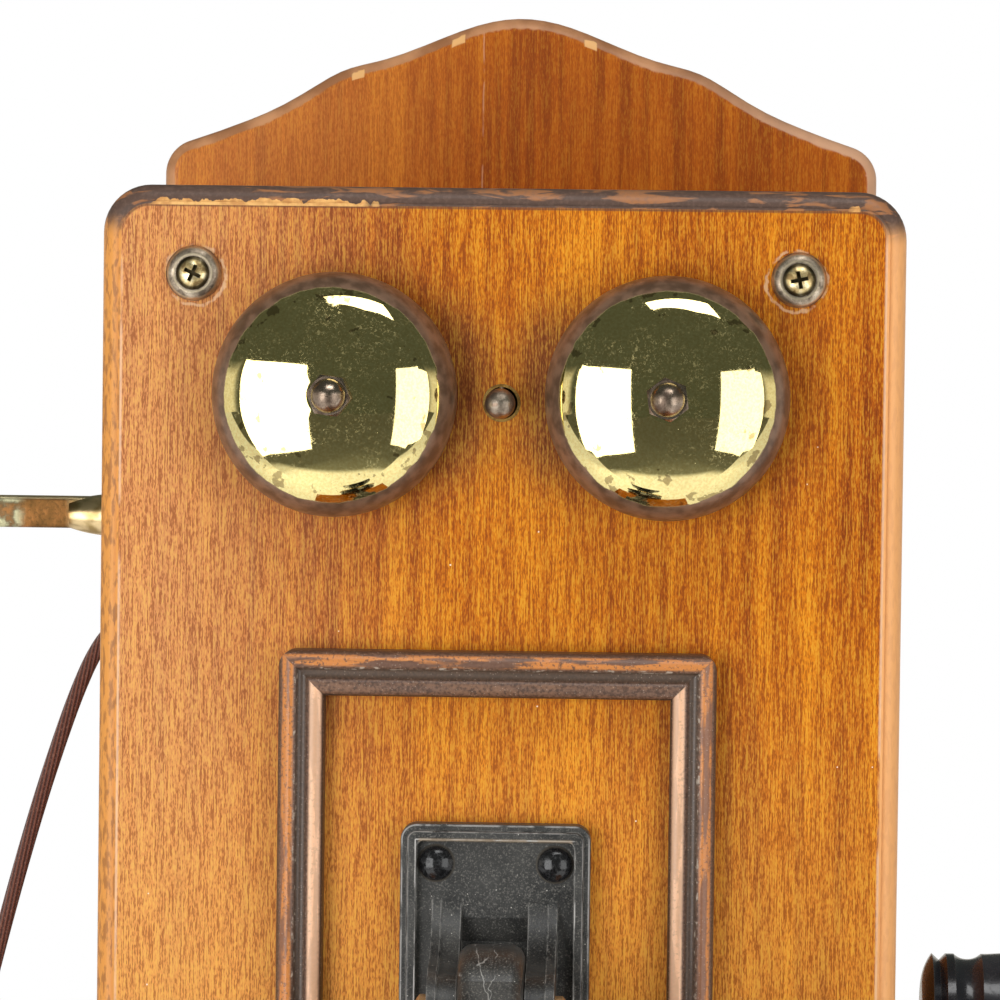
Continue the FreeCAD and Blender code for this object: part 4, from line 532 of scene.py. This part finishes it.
def rough_iron(name, tone, worn, roughness):
    """Cast or forged iron with a dark skin, rubbed grey along its edges."""
    material, tree, shader, place = new_finish(name, roughness, 0.85)
    skin = mottle(tree, place, 900.0, 4.0)
    colour = tint(tree, fade(tree, skin, 0.3, 0.7), tone, worn)
    edges = worn_edges(tree, 0.0006, 0.985, 0.9)
    colour = tint(tree, reckon(tree, "MULTIPLY", edges, 0.6), colour, paint(150, 148, 144))
    tree.links.new(colour, shader.inputs["Base Color"])
    relief(tree, shader, skin, 0.00005)
    return material


dark_iron = rough_iron("dark iron", paint(58, 58, 60), paint(88, 86, 84), 0.5)
dress(dark_iron, "clapper_armature", "ringer_frame", "ringer_magnet", "receiver_magnet")


def wound_wire(name, along, pitch, bright, dark):
    """Layers of fine covered wire laid side by side round a coil."""
    material, tree, shader, place = new_finish(name, 0.5)
    turn = reckon(tree, "MULTIPLY", coordinates(tree, place)[along], 2 * math.pi / pitch)
    wires = reckon(tree, "MULTIPLY_ADD", reckon(tree, "SINE", turn), 0.5, 0.5)
    wax = mottle(tree, place, 260.0, 4.0)
    # Painted shade: the colour darkens in the grooves between turns and lightens on their crowns.
    colour = tint(tree, wires, dark, bright)
    colour = tint(tree, reckon(tree, "MULTIPLY", fade(tree, wax, 0.5, 0.7), 0.4), colour, paint(70, 44, 26))
    tree.links.new(colour, shader.inputs["Base Color"])
    relief(tree, shader, wires, 0.00012)
    return material


dress(wound_wire("ringer winding", 1, 0.0005, paint(126, 52, 38), paint(70, 24, 18)), "ringer_coils")

# Transmitter bracket: a rimmed plate with two ears, moulded in satin black plastic, on four domed rivets.
# Dust dulls the plate, the rim and ears have worn to whitish edges, whitish lines along the rim are partly
# wear and partly painted highlight, and a dusty line lies under the top rim.
BRACKET_TOP_Z = 0.0068
BRACKET_MIDDLE_Z = -0.0407
BRACKET_HALF_WIDTH = 0.0248
BRACKET_HALF_HEIGHT = 0.0475
BRACKET_CORNER = 0.0042
BRACKET_FACE_Y = -0.1582


def black_plastic(name, roughness, dust_share, edge_share):
    """Black moulding peppered with fine dust, whitish along its sharp edges."""
    material, tree, shader, place = new_finish(name, roughness)
    pits = mottle(tree, place, 1500.0, 3.0)
    clouds = mottle(tree, place, 110.0, 4.0)
    powder = mottle(tree, place, 2300.0, 5.0, 0.5)
    colour = tint(tree, fade(tree, pits, 0.3, 0.7), paint(27, 27, 27), paint(42, 42, 41))
    settled = reckon(tree, "MULTIPLY", fade(tree, clouds, 0.25, 0.75), dust_share)
    colour = tint(tree, settled, colour, paint(92, 91, 87))
    dust = reckon(tree, "MULTIPLY", fade(tree, powder, 0.5, 0.72), dust_share)
    colour = tint(tree, dust, colour, paint(150, 146, 136))
    colour = tint(tree, dust_specks(tree, place, 520.0, 0.09, 0.4), colour, paint(206, 202, 192))
    edges = reckon(tree, "MULTIPLY", worn_edges(tree, 0.0007, 0.985, 0.88), edge_share)
    edges = reckon(tree, "MULTIPLY", edges, fade(tree, mottle(tree, place, 300.0, 5.0), 0.36, 0.56))
    colour = tint(tree, edges, colour, paint(168, 165, 158))
    dull = reckon(tree, "MULTIPLY_ADD", fade(tree, powder, 0.46, 0.64), 0.25, roughness)
    tree.links.new(dull, shader.inputs["Roughness"])
    relief(tree, shader, pits, 0.00004)
    return material, tree, shader, place, colour


bracket_black, tree, shader, place, colour = black_plastic("bracket black", 0.36, 0.42, 0.5)
x, y, z = coordinates(tree, place)
level = reckon(tree, "SUBTRACT", z, BRACKET_MIDDLE_Z)
margin = box_margin(tree, x, level, BRACKET_HALF_WIDTH, BRACKET_HALF_HEIGHT, BRACKET_CORNER)
rubs = mottle(tree, stretch(tree, place, (260.0, 260.0, 120.0)), detail=6.0)
on_face = fade(tree, y, BRACKET_FACE_Y, BRACKET_FACE_Y - 0.0006)
# Whitish lines along the rim's outer edge, step and inner ridge: partly wear, partly painted highlight.
for line, width, share in ((0.0004, 0.0003, 0.5), (0.0020, 0.0002, 0.4), (0.00395, 0.00022, 0.95)):
    off_rim_highlight = reckon(tree, "ABSOLUTE", reckon(tree, "SUBTRACT", margin, line))
    worn = reckon(tree, "MULTIPLY", fade(tree, off_rim_highlight, width, width * 0.4), fade(tree, rubs, 0.4, 0.56))
    worn = reckon(tree, "MULTIPLY", reckon(tree, "MULTIPLY", worn, on_face), share)
    colour = tint(tree, worn, colour, paint(190, 187, 182))
lint = reckon(tree, "MULTIPLY", fade(tree, z, BRACKET_TOP_Z - 0.0050, BRACKET_TOP_Z - 0.0044),
              fade(tree, z, BRACKET_TOP_Z - 0.0034, BRACKET_TOP_Z - 0.0040))
lint = reckon(tree, "MULTIPLY", lint, fade(tree, reckon(tree, "ABSOLUTE", x), 0.0205, 0.0195))
lint = reckon(tree, "MULTIPLY", lint, fade(tree, mottle(tree, place, 240.0, 5.0), 0.3, 0.5))
colour = tint(tree, reckon(tree, "MULTIPLY", lint, 0.7), colour, paint(150, 130, 104))
tree.links.new(colour, shader.inputs["Base Color"])
dress(bracket_black, "transmitter_bracket")

rivet_black, tree, shader, place = new_finish("rivet black", 0.12)
powder = mottle(tree, place, 900.0, 8.0, 0.8)
colour = tint(tree, fade(tree, powder, 0.35, 0.65), paint(22, 22, 23), paint(40, 40, 41))
x, y, z = coordinates(tree, place)
skirt = reckon(tree, "MULTIPLY", fade(tree, y, BRACKET_FACE_Y - 0.0007, BRACKET_FACE_Y), 0.6)
colour = tint(tree, skirt, colour, paint(104, 98, 88))
tree.links.new(colour, shader.inputs["Base Color"])
worn_gloss = reckon(tree, "MULTIPLY_ADD", fade(tree, powder, 0.5, 0.68), 0.3, 0.12)
tree.links.new(reckon(tree, "MULTIPLY_ADD", skirt, 0.5, worn_gloss), shader.inputs["Roughness"])
relief(tree, shader, powder, 0.00002)
dress(rivet_black, "bracket_rivets")

# Transmitter arm: a moulded black arm whose round knuckle turns between the ears on a tan-plated bolt.
# A few fine whitish cracks run through the knuckle where it turns against the ears.


def hairline(tree, away, width):
    """1 along a thin line, by the distance away from it."""
    return fade(tree, reckon(tree, "ABSOLUTE", away), width, width * 0.35)


arm_black, tree, shader, place, colour = black_plastic("arm black", 0.32, 0.5, 0.4)
x, y, z = coordinates(tree, place)
level = reckon(tree, "SUBTRACT", z, BRACKET_MIDDLE_Z)
shake = reckon(tree, "MULTIPLY_ADD", mottle(tree, place, 150.0, 5.0), 0.006, -0.003)
upright = hairline(tree, reckon(tree, "ADD", reckon(tree, "ADD", x, -0.0012), shake), 0.00016)
leaning = reckon(tree, "MULTIPLY_ADD", level, 0.42, reckon(tree, "ADD", x, -0.0035))
leaning = hairline(tree, reckon(tree, "MULTIPLY_ADD", shake, 0.6, leaning), 0.0002)
crossing = reckon(tree, "MULTIPLY_ADD", level, -1.7, reckon(tree, "ADD", x, 0.0282))
crossing = hairline(tree, reckon(tree, "MULTIPLY_ADD", shake, 1.5, crossing), 0.0004)
crossing = reckon(tree, "MULTIPLY", crossing, fade(tree, x, 0.0, -0.0015))
cracks = reckon(tree, "MAXIMUM", reckon(tree, "MAXIMUM", upright, leaning), crossing)
cracks = reckon(tree, "MULTIPLY", cracks, fade(tree, mottle(tree, place, 200.0, 3.0), 0.4, 0.52))
colour = tint(tree, reckon(tree, "MULTIPLY", cracks, 0.55), colour, paint(176, 174, 168))
tree.links.new(colour, shader.inputs["Base Color"])
dress(arm_black, "transmitter_arm")

pivot_tan, tree, shader, place, colour = aged_metal(
    "pivot tan plate", paint(214, 180, 134), paint(190, 154, 110), paint(132, 100, 66), 0.38, 380.0)
shader.inputs["Metallic"].default_value = 0.6
tree.links.new(colour, shader.inputs["Base Color"])
dress(pivot_tan, "arm_pivot_bolt", "arm_pivot_nut")

# Transmitter: an enamelled cup closed by a turned brass faceplate, with a flared black mouthpiece in it.
# Inside lie a steel diaphragm and a carbon button.
CUP_AXIS_Z = -0.0722
LATHE_PITCH = 0.0004
cup_enamel, tree, shader, place = new_finish("cup enamel", 0.14, coat=0.5, coat_roughness=0.05)
orange_peel = mottle(tree, place, 500.0, 2.0)
chipped = fade(tree, mottle(tree, place, 150.0, 6.0), 0.68, 0.7)
colour = tint(tree, fade(tree, orange_peel, 0.3, 0.7), paint(20, 20, 21), paint(34, 33, 33))
edges = reckon(tree, "MULTIPLY", worn_edges(tree, 0.0006, 0.985, 0.9), 0.6)
colour = tint(tree, reckon(tree, "MAXIMUM", chipped, edges), colour, paint(120, 104, 80))
tree.links.new(colour, shader.inputs["Base Color"])
tree.links.new(reckon(tree, "MULTIPLY_ADD", chipped, 0.3, 0.14), shader.inputs["Roughness"])
relief(tree, shader, orange_peel, 0.00003)
dress(cup_enamel, "transmitter_cup")

face_brass, tree, shader, place, colour = aged_metal(
    "faceplate brass", paint(218, 186, 116), paint(190, 154, 88), paint(120, 92, 52), 0.2, 160.0)
x, y, z = coordinates(tree, place)
level = reckon(tree, "SUBTRACT", z, CUP_AXIS_Z)
lathe_r = reckon(tree, "SQRT", reckon(tree, "MULTIPLY_ADD", x, x, reckon(tree, "POWER", level, 2.0)))
lathe = reckon(tree, "SINE", reckon(tree, "MULTIPLY", lathe_r, 2 * math.pi / LATHE_PITCH))
colour = tint(tree, reckon(tree, "MULTIPLY_ADD", lathe, 0.08, 0.08), colour, paint(110, 84, 46))
tree.links.new(colour, shader.inputs["Base Color"])
dress(face_brass, "transmitter_faceplate")


def hard_rubber(name, roughness, black, faded):
    """Polished black hard rubber, faded a little to grey, with handling marks."""
    material, tree, shader, place = new_finish(name, roughness, coat=0.35, coat_roughness=0.08)
    fading = mottle(tree, place, 45.0, 5.0)
    marks = mottle(tree, place, 700.0, 4.0)
    colour = tint(tree, fade(tree, fading, 0.4, 0.7), black, faded)
    colour = tint(tree, reckon(tree, "MULTIPLY", worn_edges(tree, 0.0005, 0.985, 0.9), 0.35),
                  colour, paint(104, 98, 92))
    colour = tint(tree, dust_specks(tree, place, 330.0, 0.06, 0.35), colour, paint(170, 168, 164))
    tree.links.new(colour, shader.inputs["Base Color"])
    dull = reckon(tree, "MULTIPLY_ADD", fade(tree, marks, 0.5, 0.75), 0.16, roughness)
    tree.links.new(dull, shader.inputs["Roughness"])
    relief(tree, shader, marks, 0.00001)
    return material


RUBBER_BLACK = paint(20, 20, 22)
RUBBER_FADED = paint(38, 38, 41)
dress(hard_rubber("mouthpiece rubber", 0.16, RUBBER_BLACK, RUBBER_FADED), "mouthpiece")
carbon, tree, shader, place = new_finish("pressed carbon", 0.7)
grit = mottle(tree, place, 2600.0, 3.0)
tree.links.new(tint(tree, grit, paint(26, 26, 27), paint(72, 71, 70)), shader.inputs["Base Color"])
relief(tree, shader, grit, 0.00008)
dress(carbon, "carbon_button")

# Hook: a forged brass lever with a swelling where it leaves the case and a fork that carries the receiver.
# Handling has left it mottled, olive on the swelling and brown along the bar. A painted reflection makes the
# fork end silvery with dark patches, and a painted highlight runs along the top edge.
HOOK_BOSS_END_X = -0.121
HOOK_TOP_Z = 0.0886
hook_brass, tree, shader, place, colour = aged_metal(
    "hook brass", paint(164, 112, 64), paint(128, 90, 50), paint(88, 68, 40), 0.28, 130.0)
x, y, z = coordinates(tree, place)
verdigris_and_reflection_mottle = mottle(tree, place, 230.0, 6.0)
# Painted reflection: the fork end is painted silvery with dark patches, as a mirror-bright stretch of brass.
reflection_patches = fade(tree, x, HOOK_BOSS_END_X - 0.0105, HOOK_BOSS_END_X - 0.014)
reflection_patches = reckon(tree, "MULTIPLY", reflection_patches, fade(tree, verdigris_and_reflection_mottle, 0.3, 0.55))
reflection_tone = tint(tree, fade(tree, verdigris_and_reflection_mottle, 0.42, 0.6), paint(92, 92, 74), paint(196, 190, 152))
colour = tint(tree, reflection_patches, colour, reflection_tone)
swelling = fade(tree, x, HOOK_BOSS_END_X - 0.0005, HOOK_BOSS_END_X + 0.003)
cast = tint(tree, fade(tree, verdigris_and_reflection_mottle, 0.36, 0.62), paint(166, 140, 92), paint(218, 192, 144))
colour = tint(tree, swelling, colour, cast)
# Painted highlight: a pale band along the top edge of the bar.
top_edge_highlight = fade(tree, z, HOOK_TOP_Z - 0.0012, HOOK_TOP_Z - 0.0003)
colour = tint(tree, reckon(tree, "MULTIPLY", top_edge_highlight, 0.7), colour, paint(240, 222, 176))
tree.links.new(colour, shader.inputs["Base Color"])
dress(hook_brass, "hook_lever")
dress(grey_steel, "hook_pin", "hook_brackets")

# Receiver: a turned black shell with a screwed ear cap, hung in the hook's fork by its neck.
# A soft rubber bush guards the cord at its tail, and a grommet where the cord leaves the case.
dress(hard_rubber("receiver rubber", 0.2, RUBBER_BLACK, RUBBER_FADED), "receiver_shell", "receiver_cap")
soft_rubber, tree, shader, place = new_finish("soft rubber", 0.62)
bloom = mottle(tree, place, 380.0, 5.0)
colour = tint(tree, fade(tree, bloom, 0.4, 0.7), paint(26, 25, 25), paint(66, 63, 60))
tree.links.new(colour, shader.inputs["Base Color"])
relief(tree, shader, bloom, 0.00004)
dress(soft_rubber, "receiver_bush", "cord_grommet")

# Cord: reddish-brown braided cotton over tinsel wire, 4.2 mm thick, from the case to the receiver's tail.
# It hangs in one slack loop below the case, and its strands show as parallel ridges.
CORD_R = 0.0021
CORD_ROUTE = [
    (-0.0996, -0.0600, 0.0535), (-0.1036, -0.0600, 0.0535), (-0.1079, -0.0605, 0.0523),
    (-0.1119, -0.0609, 0.0498), (-0.1150, -0.0613, 0.0462), (-0.1190, -0.0620, 0.0387),
    (-0.1246, -0.0634, 0.0237), (-0.1334, -0.0663, -0.0049), (-0.1444, -0.0712, -0.0484),
    (-0.1548, -0.0770, -0.0970), (-0.1632, -0.0825, -0.1460), (-0.1692, -0.0873, -0.1935),
    (-0.1721, -0.0896, -0.2215), (-0.1740, -0.0908, -0.2395), (-0.1805, -0.0916, -0.2471),
    (-0.1901, -0.0923, -0.2496), (-0.1993, -0.0929, -0.2460), (-0.2047, -0.0933, -0.2378),
    (-0.2043, -0.0939, -0.2203), (-0.2024, -0.0946, -0.1903), (-0.1984, -0.0952, -0.1460),
    (-0.1922, -0.0952, -0.1015), (-0.1832, -0.0946, -0.0650), (-0.1794, -0.0942, -0.0502),
    (-0.1780, -0.0940, -0.0426), (-0.1780, -0.0940, -0.0360),
]
CORD_STRANDS = 11
CORD_TWISTS = 60.0


def cord_line(name, thickness):
    """The cord's route as a smooth curve, bare or with its thickness."""
    curve = bpy.data.curves.new(name, "CURVE")
    curve.dimensions = "3D"
    curve.resolution_u = 12
    curve.bevel_depth = thickness
    curve.bevel_resolution = 10
    spline = curve.splines.new("NURBS")
    spline.points.add(len(CORD_ROUTE) - 1)
    for point, where in zip(spline.points, CORD_ROUTE):
        point.co = (*where, 1.0)
    spline.order_u = 3
    spline.use_endpoint_u = True
    made = bpy.data.objects.new(name, curve)
    bpy.context.collection.objects.link(made)
    return made


bare_line = cord_line("cord_line", 0.0)
line_mesh = bpy.data.meshes.new_from_object(bare_line)
bpy.data.objects.remove(bare_line)
cord = cord_line("braided_cord", CORD_R)
bpy.context.view_layer.objects.active = cord
cord.select_set(True)
bpy.ops.object.convert(target="MESH")
cord = bpy.context.view_layer.objects.active
bpy.ops.object.shade_smooth()
cord.select_set(False)

cotton, tree, shader, place = new_finish("braided cotton", 0.75)
shader.inputs["Sheen Weight"].default_value = 0.25
chart = tree.nodes.new("ShaderNodeUVMap").outputs["UV"]
along_cord, round_cord = coordinates(tree, chart)[:2]
strand = reckon(tree, "MULTIPLY", round_cord, CORD_STRANDS)
strand = reckon(tree, "MULTIPLY_ADD", along_cord, CORD_TWISTS, strand)
wave = reckon(tree, "SINE", reckon(tree, "MULTIPLY", strand, 2 * math.pi))
ridges = reckon(tree, "MULTIPLY_ADD", wave, 0.5, 0.5)
fuzz = mottle(tree, place, 1800.0, 4.0)
# Painted shade: the strands are painted darker in the grooves between them and lighter on their crowns.
colour = tint(tree, ridges, paint(70, 36, 28), paint(132, 78, 60))
colour = tint(tree, reckon(tree, "MULTIPLY", fade(tree, fuzz, 0.5, 0.75), 0.5), colour, paint(176, 124, 100))
tree.links.new(colour, shader.inputs["Base Color"])
relief(tree, shader, reckon(tree, "MULTIPLY_ADD", fuzz, 0.3, ridges), 0.0003)
cord.data.materials.append(cotton)
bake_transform(cord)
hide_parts("receiver_cord")

# Crank: a bent steel rod through a brass bushing, with a turned handle of glossy black composition.
# The handle spins on the rod, and a brass nut keeps it there.
dress(drawn_steel("crank steel", paint(184, 178, 168), paint(116, 110, 102), 0.25, 0.4), "crank_rod")
dress(hard_rubber("handle gloss", 0.24, paint(32, 32, 36), paint(58, 58, 64)), "crank_handle")

# Magneto: a brass wheel drives a pinion on an iron rotor between pole pieces and three horseshoe magnets.
# The magnets are japanned black, and the frame is cast iron screwed to the case's floor.
magnet_black = rough_iron("magnet japan", paint(30, 29, 30), paint(48, 46, 45), 0.35)
dress(magnet_black, "magneto_magnets")
dress(dark_iron, "magneto_frame", "magneto_poles", "magneto_rotor")

# Induction coil and terminal strip: a waxed winding between wooden cheeks, and screws on a brass strip.
# Both are screwed to the backboard behind the panel.
dress(wound_wire("induction winding", 0, 0.0007, paint(70, 84, 52), paint(34, 42, 26)), "induction_coil")
dress(plain_brass, "terminal_strip")

# Stage: a pale floor under the hung telephone and a plain soft studio.
# Two tall softboxes stand either side of the camera and one hangs above, as the polished gongs show.
FLOOR_Z = -0.8
FLOOR_SIZE = 10.0
PAPER_FRONT_Y = -1.2
PAPER_GLOW = 0.5
ROOM_DARK = paint(84, 89, 82)
bpy.ops.mesh.primitive_plane_add(size=FLOOR_SIZE, location=(0.0, 0.0, FLOOR_Z))
bpy.ops.object.transform_apply(location=True, rotation=False, scale=False)
floor = bpy.context.object
floor.name = "studio_floor"
floor_paper, tree, shader, place = new_finish("floor paper", 0.8)
fibres = mottle(tree, place, 40.0, 3.0)
colour = tint(tree, fibres, paint(236, 236, 234), paint(244, 244, 242))
ray = tree.nodes.new("ShaderNodeLightPath")
x, y, z = coordinates(tree, place)
beyond = fade(tree, y, PAPER_FRONT_Y + 0.05, PAPER_FRONT_Y - 0.05)
unlit = reckon(tree, "MULTIPLY", beyond, ray.outputs["Is Glossy Ray"])
tree.links.new(tint(tree, unlit, colour, paint(150, 152, 142)), shader.inputs["Base Color"])
shader.inputs["Emission Color"].default_value = (1.0, 1.0, 1.0, 1.0)
seen = reckon(tree, "MAXIMUM", ray.outputs["Is Camera Ray"], ray.outputs["Is Glossy Ray"])
seen = reckon(tree, "MAXIMUM", seen, ray.outputs["Is Transmission Ray"])
glow = reckon(tree, "MULTIPLY", reckon(tree, "SUBTRACT", seen, unlit), PAPER_GLOW)
away = reckon(tree, "SQRT", reckon(tree, "MULTIPLY_ADD", x, x, reckon(tree, "MULTIPLY", y, y)))
far_white = reckon(tree, "MULTIPLY", fade(tree, away, 1.5, 4.0), ray.outputs["Is Camera Ray"])
tree.links.new(reckon(tree, "MULTIPLY_ADD", far_white, PAPER_GLOW, glow), shader.inputs["Emission Strength"])
floor.data.materials.append(floor_paper)

STAGE_MIDDLE = Vector((0.0, -0.15, 0.08))


def softbox(name, where, width, height, power):
    """A soft rectangular lamp turned to the telephone."""
    lamp = bpy.data.lights.new(name, "AREA")
    lamp.shape = "RECTANGLE"
    lamp.size = width
    lamp.size_y = height
    lamp.energy = power
    made = bpy.data.objects.new(name, lamp)
    made.location = where
    made.rotation_euler = (STAGE_MIDDLE - Vector(where)).to_track_quat("-Z", "Y").to_euler()
    bpy.context.collection.objects.link(made)


softbox("softbox_left", (-0.72, -1.2, -0.05), 0.8, 1.05, 11.0)
softbox("softbox_right", (1.0, -1.15, -0.05), 0.8, 1.05, 6.5)
softbox("softbox_top", (0.2, -0.75, 1.15), 0.8, 0.45, 5.0)

world = bpy.data.worlds.new("white studio")
bpy.context.scene.world = world
world.use_nodes = True
tree = world.node_tree
backing = tree.nodes["Background"]
direction = tree.nodes.new("ShaderNodeTexCoord").outputs["Generated"]
x, y, z = coordinates(tree, direction)
towards_front = fade(tree, y, -0.3, -0.55)
above = fade(tree, z, 0.12, 0.3)
dark_side = reckon(tree, "MAXIMUM", towards_front, above)
ray = tree.nodes.new("ShaderNodeLightPath")
room = tint(tree, dark_side, paint(244, 240, 230), ROOM_DARK)
seen = tint(tree, ray.outputs["Is Glossy Ray"], paint(158, 158, 158), room)
seen = tint(tree, ray.outputs["Is Transmission Ray"], seen, (1.0, 1.0, 1.0, 1.0))
tree.links.new(tint(tree, ray.outputs["Is Camera Ray"], seen, (1.0, 1.0, 1.0, 1.0)), backing.inputs["Color"])

# Camera: at the photograph's distance, a little right of the middle and just above the bells.
CAMERA_PLACE = Vector((0.0409, -1.399, 0.1365))
CAMERA_AIM = Vector((-0.0001, -0.154, 0.0912))
CAMERA_ROLL = math.radians(0.7)
bpy.ops.object.camera_add(location=CAMERA_PLACE)
camera = bpy.context.object
aim = (CAMERA_AIM - CAMERA_PLACE).to_track_quat("-Z", "Y").to_matrix()
camera.rotation_euler = (aim @ Matrix.Rotation(CAMERA_ROLL, 3, "Z")).to_euler()
camera.data.lens = 172.0
camera.data.sensor_width = 36.0
bpy.context.scene.camera = camera
bpy.context.scene.view_settings.view_transform = "Standard"
